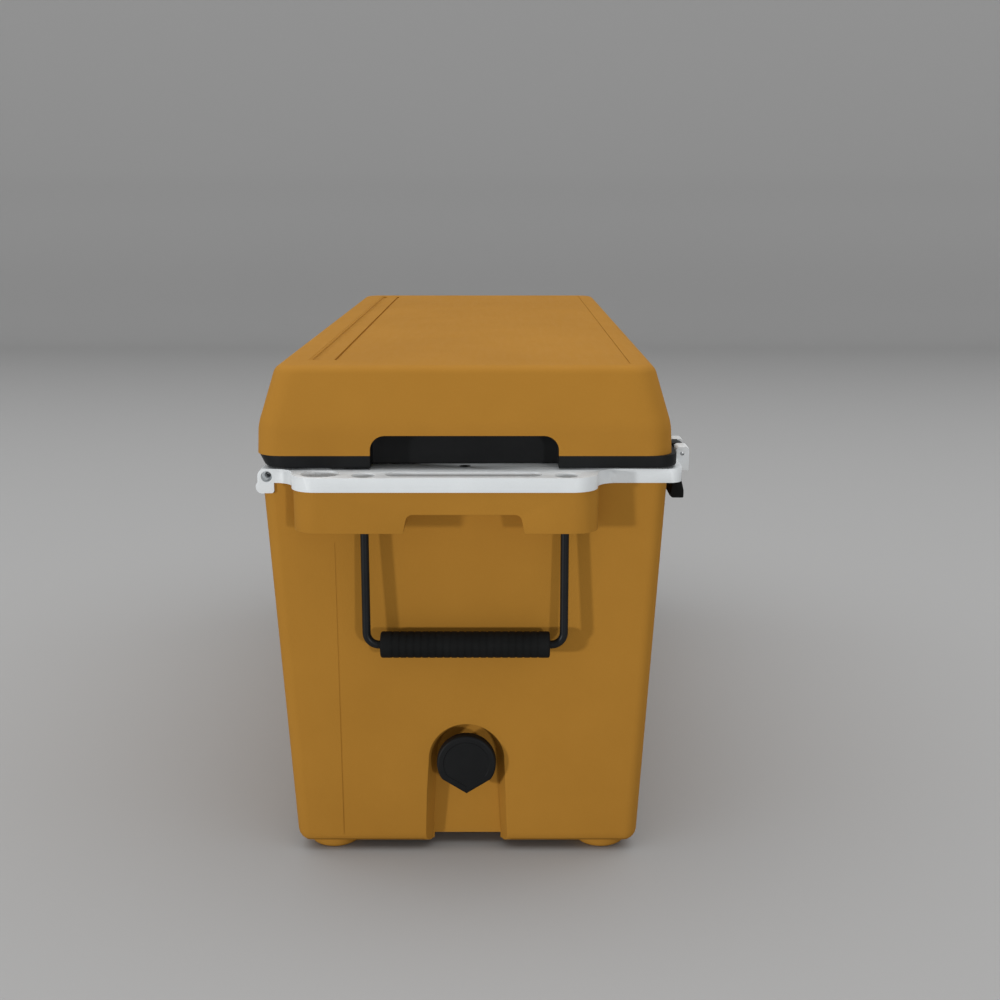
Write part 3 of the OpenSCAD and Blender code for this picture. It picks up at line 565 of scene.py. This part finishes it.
def makeRim():
    x, low, high, above = rim["x"], rim["low"], rim["high"], 410
    hingeY, hingeZ, under = rim["hingeY"], rim["hingeZ"], rim["under"]
    obj = block("rimFrame", (-x, x), (rim["front"], rim["back"]), (low, high))
    for y in rim["shelfY"]:
        bisectAt(obj, (0, y, 0), (0, 1, 0))
    for end in (-1, 1):
        pick(obj, "FACE", lambda s, n: n.x * end > 0.9 and -120 < s[0][1] < 150)
        pullOut(end * (rim["shelfX"] - x) * mm, 0, 0)
        endEdit()

    def atEnd(s, n):  # the frame's own corners and those where a shelf leaves it
        return isUpright(s, n) and abs(abs(s[0][0]) - x) < 1
    roundPicked(obj, lambda s, n: abs(n.z) > 0.9 and abs(s[0][0]) > rim["shelfX"] - 6, rim["shelfCorner"], 10)
    roundPicked(obj, lambda s, n: atEnd(s, n) and not rim["front"] + 1 <= s[0][1] <= rim["back"] - 1,
                rim["corner"], 6)
    roundPicked(obj, lambda s, n: atEnd(s, n) and min(abs(s[0][1] - y) for y in rim["shelfY"]) < 0.5,
                rim["fillet"], 8)
    for end in (-1, 1):
        lug = block("lug", sorted((end * rim["hingeHalf"], end * x)), rim["lugY"], (under, high))
        roundPicked(lug, lambda s, n: abs(n.x) > 0.9 and max(p[2] for p in s) < under + 5, 2.5, 4)
        combine(obj, lug, "UNION")
        bulge = drum("bulge", (end * (rim["hingeHalf"] + 9), 192, 386), 6.4, 17.9, turnX, 32)
        combine(obj, bulge, "UNION")
    mouthX, mouthY = rim["mouth"]
    mouth = block("mouth", (-mouthX, mouthX), (-mouthY, mouthY), (under, above))
    roundPicked(mouth, isUpright, rim["mouthCorner"], 8)
    combine(obj, mouth)
    # the rear edge is turned about the hinge, so the lid's band rolls past it
    behind = block("behind", (-490, 490), (hingeY, 230), (hingeZ, 430))
    combine(behind, drum("roll", (0, hingeY, hingeZ), rim["rollR"], 1100, turnX, 72))
    combine(obj, behind)
    for place in rim["rooms"]:
        combine(obj, block("knuckleRoom", (place - 20.5, place + 20.5), (181.6, 230), (under, 430)))
    for place in rim["knuckles"]:
        barrel = drum("barrel", (place, hingeY, hingeZ), rim["knuckleR"], rim["knuckleLong"], turnX, 48)
        combine(barrel, block("under", (place - 30, place + 30), (150, 230), (370, low)))
        combine(obj, barrel, "UNION")
    roundSharp(obj, rim["edge"], 3, 42, lambda spots: all(
        not (p[1] > 175 and abs(p[0]) < 462) and not (p[1] > 176 and p[2] < 389) for p in spots))
    for end in (-1, 1):
        for y in rim["toolY"]:
            combine(obj, drum("toolHole", (end * rim["toolX"], y, 397), rim["toolR"], 40))
        slot = block("slot", sorted(end * v for v in rim["slotX"]), (-rim["slotHalf"], rim["slotHalf"]),
                     (under, above))
        roundPicked(slot, isUpright, 9.95, 10)
        combine(obj, slot)
        oval = block("oval", sorted(end * v for v in rim["ovalX"]), rim["ovalY"], (under, above))
        roundPicked(oval, isUpright, 13.9, 12)
        combine(obj, oval)
        combine(obj, drum("tieHole", (end * rim["tieX"], 0, 397), rim["tieR"], 40))
    roundSharp(obj, rim["holeEdge"], 2, 60, lambda spots: all(
        p[2] > high - 0.1 and abs(p[0]) > 455 and abs(p[1]) < mouthY - 0.5 for p in spots))
    combine(obj, drum("pinBore", (0, hingeY, hingeZ), rim["pinR"], 1000, turnX, 32))
    for end in (-1, 1):
        combine(obj, drum("lugBore", (end * (x - 3), hingeY, hingeZ), 5.3, 12, turnX, 40))
    return obj


rimFrame = makeRim()
finishPiece(rimFrame, "rim_frame")
rimFrame.data.materials.append(blackNylon)  # the tie holes' inner faces are painted shade: they take the black material so the holes read dark, as if in shadow
# painted shade: faces inside the tie holes are switched to the black slot
for face in rimFrame.data.polygons:
    x, y, z = inMm(face.center)
    if math.hypot(abs(x) - rim["tieX"], y) < rim["tieR"] + 0.7 and z < rim["high"] - 0.01:
        face.material_index = 1
print("rim ready", len(rimFrame.data.polygons))


# Lid shell with its ruler bed and hand notches.
lid = {"x": 487, "y": 197.5, "low": 417, "high": 500, "shoulder": 444, "slope": 17, "corner": 24,
       "edge": 8, "wall": 3, "notchHalf": 89, "notchTop": 436, "notchR": 14, "notchDeep": 32.5,
       "shoulderRound": 6, "rulerX": (-422, 440), "rulerY": (124, 153), "rulerDeep": 0.7, "rulerLip": 0.8,
       "grooves": ((124.4, 129.4, 1.9), (143, 152, 1.3)), "tick": 12, "tickWide": 1.1, "tickDeep": 1.75,
       "tickY": (141, 145.5, 151.8), "creaseX": 452, "creaseY": -157, "creaseHalf": 0.7, "creaseDeep": 0.6}


def makeLid():
    x, y, high, shoulder = lid["x"], lid["y"], lid["high"], lid["shoulder"]
    obj = block("lidShell", (-x, x), (-y, y), (lid["low"], high))
    bisectAt(obj, (0, 0, shoulder), (0, 0, 1))
    for level, inset in ((high, lid["slope"]), (shoulder, 1)):
        scale = ((x - inset) / x, (y - inset) / y, 1)
        stretch(obj, lambda s, n: abs(s[0][2] - level) < 1, scale, (0, 0, level))
    roundPicked(obj, lambda s, n: abs(n.z) > 0.5, lid["corner"], 10)
    roundPicked(obj, lambda s, n: min(p[2] for p in s) > high - 0.5, lid["edge"], 5)
    roundPicked(obj, lambda s, n: all(abs(p[2] - shoulder) < 0.5 for p in s), lid["shoulderRound"], 4)
    # ruler bed
    (fromX, toX), (fromY, toY) = lid["rulerX"], lid["rulerY"]
    for place in lid["rulerY"]:
        bisectAt(obj, (0, place, 0), (0, 1, 0))
    for place in lid["rulerX"]:
        bisectAt(obj, (place, 0, 0), (1, 0, 0))
    pick(obj, "FACE", lambda s, n: (n.z > 0.9 and s[0][2] > high - 1 and fromX < s[0][0] < toX
                                    and fromY < s[0][1] < toY))
    bpy.ops.mesh.inset(thickness=lid["rulerLip"] * mm, depth=-lid["rulerDeep"] * mm)
    endEdit()
    pick(obj, "FACE", lambda s, n: n.z < -0.9)
    bpy.ops.mesh.delete(type="FACE")
    endEdit()
    applySkin(obj, lid["wall"], -1)
    bed = high - lid["rulerDeep"]
    for low, top, deep in lid["grooves"]:
        groove = block("groove", (fromX + 1.5, toX - 1.5), (low, top), (bed - deep, bed + 3))
        stretch(groove, lambda s, n: s[0][2] < bed, (1, 0.5, 1), (0, (low + top) / 2, bed))
        combine(obj, groove)
    # one tick in five is longer
    ticks = None
    longFrom, shortFrom, end = lid["tickY"]
    for i in range(int((toX - fromX) / lid["tick"]) - 1):
        place = fromX + lid["tick"] * (i + 0.5)
        start = longFrom if i % 5 == 0 else shortFrom
        tick = block("tick", (place, place + lid["tickWide"]), (start, end), (bed - lid["tickDeep"], bed + 1))
        ticks = combine(ticks, tick, "UNION") if ticks else tick
    combine(obj, ticks)
    # thin score line on the other side
    half = lid["creaseHalf"]
    combine(obj, block("crease", (-lid["creaseX"], lid["creaseX"]),
                       (lid["creaseY"] - half, lid["creaseY"] + half), (high - lid["creaseDeep"], high + 2)))
    for end in (-1, 1):
        notch = block("notch", sorted((end * (x - lid["notchDeep"]), end * (x + 8))),
                      (-lid["notchHalf"], lid["notchHalf"]), (400, lid["notchTop"]))
        roundPicked(notch, lambda s, n: abs(n.x) > 0.9 and s[0][2] > 430, lid["notchR"], 8)
        combine(obj, notch)
    return obj


lidShell = makeLid()
finishPiece(lidShell, "lid_shell")
print("lid ready", len(lidShell.data.polygons))


# Black lid liner: the band under the lid, the plug, the hand cups and the lid's knuckles.
liner = {"x": 487, "front": -202, "back": 190, "low": 405, "high": 417, "corner": 22, "edge": 2.6,
         "flare": 1.28, "wall": 12, "panel": 3, "plugX": 434, "plugY": 152.5, "plugLow": 397,
         "plugCorner": 17, "cup": 2.5, "groove": 1.8, "ringX": 454, "ringY": 170.5, "ringWide": 9,
         "knuckle": 5.9}


def makeLiner():
    x, back, low, high = liner["x"], liner["back"], liner["low"], liner["high"]
    plugX, plugY, plugLow = liner["plugX"], liner["plugY"], liner["plugLow"]
    ringX, ringY, wide = liner["ringX"], liner["ringY"], liner["ringWide"]
    cup, knuckle, corner = liner["cup"], liner["knuckle"], liner["corner"]
    hingeY, hingeZ = rim["hingeY"], rim["hingeZ"]
    half, top, inside = lid["notchHalf"], lid["notchTop"], lid["x"] - lid["notchDeep"]
    obj = block("lidLiner", (-x, x), (liner["front"], back), (low, high))
    roundPicked(obj, isUpright, corner, 12)
    stretch(obj, lambda s, n: s[0][2] > high - 1 and s[0][1] > back - corner,
            (1, liner["flare"], 1), (0, back - corner, high))
    roundPicked(obj, lambda s, n: max(p[2] for p in s) < low + 0.5, liner["edge"], 4)
    pick(obj, "FACE", lambda s, n: n.z > 0.9)
    bpy.ops.mesh.inset(thickness=liner["wall"] * mm)
    pullOut(0, 0, (low + liner["panel"] - high) * mm)
    endEdit()
    plug = block("plug", (-plugX, plugX), (-plugY, plugY), (plugLow, low + 1))
    roundPicked(plug, isUpright, liner["plugCorner"], 8)
    roundPicked(plug, lambda s, n: max(p[2] for p in s) < plugLow + 0.5, 2, 3)
    combine(obj, plug, "UNION")
    # groove that holds the gasket
    ring = block("ring", (-ringX, ringX), (-ringY, ringY), (low - 1, low + liner["groove"]))
    roundPicked(ring, isUpright, 20, 6)
    core = block("core", (wide - ringX, ringX - wide), (wide - ringY, ringY - wide), (low - 5, low + 5))
    roundPicked(core, isUpright, 20 - wide, 6)
    combine(obj, combine(ring, core))

    def archTop(s, n):
        return abs(n.x) > 0.9 and s[0][2] > 430
    for end in (-1, 1):
        lining = block("cup", sorted((end * inside, end * (x - 9))), (-half - cup, half + cup),
                       (low + 0.5, top + cup))
        roundPicked(lining, archTop, lid["notchR"] + cup, 8)
        combine(obj, lining, "UNION")
        room = block("room", sorted((end * (inside + cup), end * (x + 8))), (-half, half), (low - 5, top))
        roundPicked(room, archTop, lid["notchR"], 8)
        roundPicked(room, lambda s, n: isUpright(s, n) and abs(s[0][0]) < 470, 6, 4)
        combine(obj, room)
        for place in (220, 440.5):  # knuckles, each on a web down to the band
            place *= end
            barrel = drum("barrel", (place, hingeY, hingeZ), knuckle, 40, turnX, 40)
            combine(barrel, block("web", (place - 20, place + 20), (hingeY - knuckle, hingeY + 2),
                                  (hingeZ, low + 1)), "UNION")
            roundSharp(barrel, 0.8, 2)
            combine(obj, barrel, "UNION")
        for place in (179.5, 260.5):
            combine(obj, drum("pass", (end * place, hingeY, hingeZ), 11.5, 40.9, turnX, 48))
        for place in (100, 300):
            for y in (-189.5, 186.5):
                combine(obj, drum("hole", (end * place, y, 411), 2.05, 20, sides=20))
    combine(obj, drum("pinBore", (0, hingeY, hingeZ), 3.1, 1000, turnX, 32))
    return obj


finishPiece(makeLiner(), "lid_liner")
print("lid liner ready")


# Tub: white food liner with its raised floor over the wheels.
tub = {"x": 437, "y": 155.5, "floor": 86.2, "step": 192, "stepX": 303, "corner": 20, "edge": 5,
       "stepEdge": 8, "wall": 2.5, "flangeX": 461.5, "flangeY": 176, "top": 390}


def makeTub():
    obj = block("innerLiner", (-tub["x"], tub["x"]), (-tub["y"], tub["y"]), (tub["floor"], tub["top"]))
    combine(obj, block("step", (tub["stepX"], 500), (-200, 200), (50, tub["step"])))
    roundPicked(obj, lambda s, n: abs(n.z) > 0.9 and not (abs(s[0][0] - tub["stepX"]) < 1), tub["corner"], 8)
    roundPicked(obj, lambda s, n: all(abs(p[0] - tub["stepX"]) < 0.5 and abs(p[2] - tub["step"]) < 0.5
                                      for p in s), tub["stepEdge"], 5)
    roundPicked(obj, lambda s, n: max(p[2] for p in s) < tub["floor"] + 0.5, tub["edge"], 4)
    pick(obj, "FACE", lambda s, n: n.z > 0.9 and s[0][2] > tub["top"] - 1)
    bpy.ops.mesh.delete(type="FACE")
    pick(obj, "EDGE", lambda s, n: min(p[2] for p in s) > tub["top"] - 0.1)
    bpy.ops.mesh.extrude_edges_move(TRANSFORM_OT_translate={"value": (0, 0, 0)})
    bpy.ops.transform.resize(value=(tub["flangeX"] / tub["x"], tub["flangeY"] / tub["y"], 1),
                             center_override=(0, midY, tub["top"] * mm))
    bpy.ops.mesh.select_all(action="SELECT")
    bpy.ops.mesh.normals_make_consistent(inside=False)
    endEdit()
    applySkin(obj, tub["wall"], 1, even=True)
    combine(obj, drum("spoutHole", (-tub["x"], 0, channel["drainZ"]), shell["spoutR"], 20, turnX, 48))
    return obj


# Drain cap: a thin round disc on a neck; its lower edge comes to a point.
cap = {"r": 29.5, "back": -450.2, "neck": -466, "front": -477.2, "drop": 31.8, "slope": 0.627, "lip": 2.6,
       "backLip": 1.2, "face": 0.86, "dish": 0.8, "dishFace": 0.96, "neckR": 21, "sides": 144,
       "tubeEnd": -462.2, "roomR": 18.5, "roomX": -446.3, "roomLong": 9.8}


def makeCap():
    z, sides = channel["drainZ"], cap["sides"]
    obj = drum("drainCap", ((cap["neck"] + cap["front"]) / 2, 0, z), cap["r"], cap["neck"] - cap["front"],
               turnX, sides)
    for i in range(sides // 4):  # below, the round turns into two flats that meet in a point
        turn = 2 * math.pi * i / sides
        flat = cap["drop"] / (math.cos(turn) + cap["slope"] * math.sin(turn))
        if flat < cap["r"] or turn < 0.2:
            y, low = cap["r"] * math.sin(turn), z - cap["r"] * math.cos(turn)
            stretch(obj, lambda s, n: abs(abs(s[0][1]) - y) < 0.1 and abs(s[0][2] - low) < 0.1,
                    (1, flat / cap["r"], flat / cap["r"]), (0, 0, z))
    roundPicked(obj, lambda s, n: all(p[0] < cap["front"] + 0.1 for p in s), cap["lip"], 5)
    roundPicked(obj, lambda s, n: all(p[0] > cap["neck"] - 0.1 for p in s), cap["backLip"], 3)
    pick(obj, "FACE", lambda s, n: n.x < -0.99 and s[0][0] < cap["front"] + 0.05)
    middle = (cap["front"] * mm, midY, z * mm)
    for depth, share in ((0, cap["face"]), (cap["dish"], cap["dishFace"])):
        pullOut(depth * mm, 0, 0)
        bpy.ops.transform.resize(value=(1, share, share), center_override=middle)
    endEdit()
    neck = drum("neck", ((cap["neck"] - 1 + cap["back"]) / 2, 0, z), cap["neckR"],
                cap["back"] - cap["neck"] + 1, turnX, 64)
    combine(obj, neck, "UNION")
    deep = cap["back"] - cap["tubeEnd"]
    combine(obj, drum("socket", ((cap["back"] + cap["tubeEnd"]) / 2 + 5, 0, z), shell["spoutR"], deep + 10,
                      turnX, 48))
    return combine(obj, drum("room", (cap["roomX"], 0, z), cap["roomR"], cap["roomLong"], turnX, 48))


finishPiece(makeCap(), "drain_cap")
finishPiece(makeTub(), "inner_liner")
print("tub and cap ready")


# Bail handles: bent rod and moulded grip.
bail = {"x": boss["pinX"], "z": boss["pinZ"], "leg": 95, "low": 233, "bend": 12, "topBend": 5, "pin": 118,
        "rod": 4, "rodEnd": 0.8, "gripR": 12.75, "gripHalf": 81.5, "gripEdge": 2, "rib": 7, "ribs": 21,
        "grooveHalf": 0.9, "groove": 0.45, "bore": 4.05}


def sweepRod(name):  # a circle is carried along the crossbar, up the legs and out to the pins
    deselectAll()
    bpy.ops.mesh.primitive_circle_add(vertices=24, radius=bail["rod"] * mm, fill_type="NGON",
                                      location=placed(-bail["x"], -bail["pin"], bail["z"]), rotation=turnY)
    obj = freeze(bpy.context.object, name)
    leg, low, bend, top = bail["leg"], bail["low"], bail["bend"], bail["topBend"]
    moves = [(0, bail["pin"] - leg - top, 0), ("down", top, (-leg - top, bail["z"] - top), -90),
             (0, 0, -(bail["z"] - top - low - bend)), ("bend", bend, (-leg + bend, low + bend), 90),
             (0, 2 * (leg - bend), 0), ("bend", bend, (leg - bend, low + bend), 90),
             (0, 0, bail["z"] - top - low - bend), ("down", top, (leg + top, bail["z"] - top), -90),
             (0, bail["pin"] - leg - top, 0)]
    startEdit(obj, "FACE", "SELECT")
    for move in moves:
        if isinstance(move[0], str):
            y, z = move[2]
            bpy.ops.mesh.spin(steps=10, angle=-math.radians(move[3]), axis=(1, 0, 0),
                              center=placed(-bail["x"], y, z))
        else:
            pullOut(*(m * mm for m in move))
    endEdit()
    outward(obj)
    roundSharp(obj, bail["rodEnd"], 2, 60)
    return obj


def makeGrip(name):
    obj = drum(name, (-bail["x"], 0, bail["low"]), bail["gripR"], 2 * bail["gripHalf"], turnY, 64)
    ribs = [(i - bail["ribs"] // 2) * bail["rib"] for i in range(bail["ribs"])]
    for y in ribs:
        for edge in (-bail["grooveHalf"], bail["grooveHalf"]):
            bisectAt(obj, (0, y + edge, 0), (0, 1, 0))
    pick(obj, "FACE", lambda s, n: abs(n.y) < 0.1 and any(abs(s[0][1] - y) < 0.5 for y in ribs))
    sinkIn(bail["groove"])
    endEdit()
    roundPicked(obj, lambda s, n: all(abs(abs(p[1]) - bail["gripHalf"]) < 0.1 for p in s),
                bail["gripEdge"], 4)
    combine(obj, drum("bore", (-bail["x"], 0, bail["low"]), bail["bore"], 200, turnY, 32))
    return obj


rodNear = sweepRod("bailRodNear")
rodFar = twin(rodNear, "bailRodFar")
gripNear = makeGrip("bailGripNear")
gripFar = twin(gripNear, "bailGripFar")
finishPiece(rodNear, "bail_rod_near")
finishPiece(rodFar, "bail_rod_far")
finishPiece(gripNear, "bail_grip_near", "black_rubber")
finishPiece(gripFar, "bail_grip_far", "black_rubber")
print("bails ready", len(rodNear.data.polygons), len(gripNear.data.polygons))


# Wheels: rubber tread blocks round a nylon hub.
wheel = {"r": 75, "inner": 61, "near": 124.8, "far": 170.8, "shoulder": 5, "grooves": (-8, 8),
         "groove": 3, "deep": 2.6, "slotEvery": 15, "slotFrom": 9.6}  # slots are in degrees


def makeTyre(name, side):
    x, z = well["x"], well["z"]
    middle = side * (wheel["near"] + wheel["far"]) / 2
    wide = wheel["far"] - wheel["near"]
    obj = drum(name, (x, middle, z), wheel["r"], wide, turnY, 96)
    combine(obj, drum("bore", (x, middle, z), wheel["inner"], wide + 34, turnY, 96))
    roundPicked(obj, lambda s, n: abs(n.y) < 0.1 and all(
        abs(math.hypot(p[0] - x, p[2] - z) - wheel["r"]) < 0.3 for p in s), wheel["shoulder"], 4)
    for groove in wheel["grooves"]:
        for edge in (-0.5, 0.5):
            bisectAt(obj, (0, middle + groove + edge * wheel["groove"], 0), (0, 1, 0))

    def outer(s):
        return math.hypot(s[0][0] - x, s[0][2] - z) > wheel["r"] - 1

    def inGroove(s, n):
        return outer(s) and any(abs(s[0][1] - middle - g) < 1 for g in wheel["grooves"])

    def inSlot(s, n):
        turn = math.degrees(math.atan2(s[0][2] - z, s[0][0] - x)) % wheel["slotEvery"]
        return (outer(s) and abs(n.y) < 0.1 and turn < wheel["slotEvery"] / 4
                and abs(s[0][1] - middle) > wheel["slotFrom"])
    for test in (inGroove, inSlot):
        pick(obj, "FACE", test)
        sinkIn(wheel["deep"])
        endEdit()
    return obj


for side, label in ((1, "left"), (-1, "right")):
    finishPiece(makeTyre("tyre" + label.capitalize(), side), "tyre_" + label)
print("tyres ready")


# Small parts keep their CAD outline with broken edges: width in millimetres, and steps.
softEdges = {
    "latch_pull_near": (1.4, 4), "latch_pull_far": (1.4, 4),
    "latch_brackets": (0.5, 2), "bail_clips": (0.5, 2),
    "wheel_hub_left": (1.2, 3), "wheel_hub_right": (1.2, 3),
    "wheel_bush_left": (0.5, 2), "wheel_bush_right": (0.5, 2), "drain_spout": (0.6, 2), "drain_nut": (0.7, 2),
    "drain_gasket": (0.4, 2), "cap_washer": (0.4, 2), "axle_caps": (1.0, 3), "axle_washers": (0.3, 2),
    "wheel_axle": (0.9, 2), "latch_pins": (0.5, 2), "lid_gasket": (0.8, 3)}


def pieceName(node):
    words = node.split("_")
    return words[0] + "".join(w.capitalize() for w in words[1:])


for node, (width, steps) in softEdges.items():
    finishPiece(softCopy(node, pieceName(node), width, steps), node)


# Latch arms: thick white plates that hang from the brackets.
latch = {"x": 388, "y": -213.5, "z": 407, "half": 32, "inner": -207.5, "outer": -220.5, "low": 385,
         "step": 389.5, "pullFace": -211.5, "top": 414, "topRound": 3.5, "edge": 1.0, "room": 12,
         "roomLow": 399.5, "pin": 2.05}
hingeRod = {"r": 3, "long": 926, "edge": 0.9}


def makeArm(name, x):
    across = (x - latch["half"], x + latch["half"])
    obj = block(name, across, (latch["outer"], latch["inner"]), (latch["step"], latch["top"]))
    plate = block("plate", across, (latch["pullFace"], latch["inner"]), (latch["low"], latch["z"]))
    combine(obj, plate, "UNION")
    roundPicked(obj, lambda s, n: abs(n.x) > 0.9 and min(p[2] for p in s) > latch["top"] - 1,
                latch["topRound"], 5)
    roundSharp(obj, latch["edge"], 3, 50)
    # room between the two ears for the bracket on the lid
    combine(obj, block("room", (x - latch["room"], x + latch["room"]), (-230, -195), (latch["roomLow"], 430)))
    return combine(obj, drum("bore", (x, latch["y"], latch["z"]), latch["pin"], 100, turnX, 24))


for label, end in (("near", -1), ("far", 1)):
    finishPiece(makeArm("latchArm" + label.capitalize(), end * latch["x"]), "latch_arm_" + label)

hingePin = drum("hingePin", (0, rim["hingeY"], rim["hingeZ"]), hingeRod["r"], hingeRod["long"], turnX, 32)
roundSharp(hingePin, hingeRod["edge"], 3, 50)
finishPiece(hingePin, "hinge_pin")


headGap = 20  # screws stand further apart than this
cross = (0.45, 1.6, 1.1)  # half width, half length and depth of the recess


def crossHeads(node, side):  # the CAD screws with broken edges and a cross recess in each head
    obj = softCopy(node, pieceName(node), 0.3, 2)
    points = [inMm(v.co) for v in obj.data.vertices]
    face = (max if side > 0 else min)(p[2] for p in points)
    heads = {}  # the points of each head's face, kept by a rough place
    for p in points:
        if abs(p[2] - face) < 0.2:
            spot = (round(p[0] / headGap), round(p[1] / headGap))
            near = next((k for k in heads if abs(k[0] - spot[0]) < 2 and abs(k[1] - spot[1]) < 2), spot)
            heads.setdefault(near, []).append(p)
    for head in heads.values():
        x, y = ((min(p[i] for p in head) + max(p[i] for p in head)) / 2 for i in (0, 1))
        for wide, long in (cross[:2], cross[1::-1]):
            combine(obj, block("cross", (x - wide, x + wide), (y - long, y + long),
                               (face - cross[2], face + cross[2])))
    return obj


for node, side in (("rim_screws", 1), ("lid_screws", -1), ("bail_clip_screws", -1)):
    finishPiece(crossHeads(node, side), node)
print("small parts ready")

for node in ("body_foam", "lid_foam"):  # poured between the skins, so their CAD shape stays
    frame["nodes"][node].data.materials.clear()
    frame["nodes"][node].data.materials.append(urethaneFoam)


# Stage, light and camera.

def paper(name, dark, pale):  # seamless paper, with painted shade: a little darker where the floor meets the wall
    material, tree, shader, where = newMaterial(name)
    axes = addNode(tree, "SeparateXYZ", links={"Vector": where})
    ease = {"interpolation_type": "SMOOTHSTEP"}
    away = addNode(tree, "MapRange", {**ease, "From Min": 0.6, "From Max": 5.6},
                   {"Value": axes.outputs["X"]})
    up = addNode(tree, "MapRange", {**ease, "From Min": 0.15, "From Max": 0.85},
                 {"Value": axes.outputs["Z"]})
    # painted shade: darkest where the floor sweeps up into the wall, paler again up the wall
    dim = addNode(tree, "Math", {"operation": "SUBTRACT"},
                  {0: away.outputs["Result"], 1: up.outputs["Result"]})
    tone = addNode(tree, "Mix", {"data_type": "RGBA", 6: linear(pale), 7: linear(dark)},
                   {0: dim.outputs["Value"]})
    tree.links.new(tone.outputs[2], shader.inputs["Base Color"])
    shader.inputs["Roughness"].default_value = 0.95
    shader.inputs["Specular IOR Level"].default_value = 0.1
    return material


# Floor size and wall height in metres; the curve between them in millimetres.
stage = {"deep": 10, "wide": 14, "wall": 6, "sweep": 700, "dark": "#868686", "pale": "#9B9B9B"}


def makeStage():
    deselectAll()
    bpy.ops.mesh.primitive_plane_add(size=1, location=(0, 0, 0))
    floor = bpy.context.object
    floor.scale = (stage["deep"], stage["wide"], 1)
    freeze(floor, "floor")
    back = stage["deep"] / 2 / mm - 100
    pick(floor, "EDGE", lambda s, n: min(p[0] for p in s) > back)
    pullOut(0, 0, stage["wall"])
    endEdit()
    roundPicked(floor, lambda s, n: all(abs(p[2]) < 1 and p[0] > back for p in s), stage["sweep"], 16)
    makeActive(floor)
    bpy.ops.object.shade_smooth()
    floor.data.materials.append(paper("paperSweep", stage["dark"], stage["pale"]))
    return floor


def addLamp(name, azimuth, height, strength, spread):  # azimuth: from the camera's side toward +Y
    a, h = math.radians(azimuth), math.radians(height)
    way = Vector((-math.cos(h) * math.cos(a), math.cos(h) * math.sin(a), math.sin(h)))
    lamp = bpy.data.lights.new(name, "SUN")
    lamp.angle = math.radians(spread)
    lamp.energy = strength * math.pi
    obj = bpy.data.objects.new(name, lamp)
    bpy.context.scene.collection.objects.link(obj)
    obj.location = way * 4
    obj.rotation_euler = (-way).to_track_quat("-Z", "Y").to_euler()
    return obj


def lightOnly(lamp, target, state):  # INCLUDE lights the target alone, EXCLUDE all but the target
    group = bpy.data.collections.new(lamp.name + "Targets")
    group.objects.link(target)
    lamp.light_linking.receiver_collection = group
    group.collection_objects[0].light_linking.link_state = state


# The object and the paper have their own lamps: azimuth, height, strength and spread in degrees.
lamps = {"keyLight": (50, 3, 0.40, 4, "EXCLUDE"), "fillLight": (-24, 5, 0.22, 4, "EXCLUDE"),
         "topLight": (180, 62, 0.98, 90, "EXCLUDE"), "floorLight": (180, 75, 1.05, 120, "INCLUDE"),
         "wallLight": (0, 5, 0.33, 30, "INCLUDE")}
paperFloor = makeStage()
for name, (azimuth, height, strength, spread, state) in lamps.items():
    lightOnly(addLamp(name, azimuth, height, strength, spread), paperFloor, state)

world = bpy.data.worlds.new("softRoom")
world.use_nodes = True
world.node_tree.nodes["Background"].inputs["Color"].default_value = linear("#C8C8C8")
world.node_tree.nodes["Background"].inputs["Strength"].default_value = 0.7
bpy.context.scene.world = world
bpy.context.scene.view_settings.view_transform = "Standard"

view = {"place": (-1.771, -0.02275, 0.657), "lens": 50, "sensor": 36, "down": 12.4}
cameraData = bpy.data.cameras.new("camera")
cameraData.lens = view["lens"]
cameraData.sensor_width = view["sensor"]
camera = bpy.data.objects.new("camera", cameraData)
bpy.context.scene.collection.objects.link(camera)
camera.location = view["place"]
tilt = math.radians(view["down"])
camera.rotation_euler = Vector((math.cos(tilt), 0, -math.sin(tilt))).to_track_quat("-Z", "Y").to_euler()
bpy.context.scene.camera = camera

print("stage ready")

deselectAll()
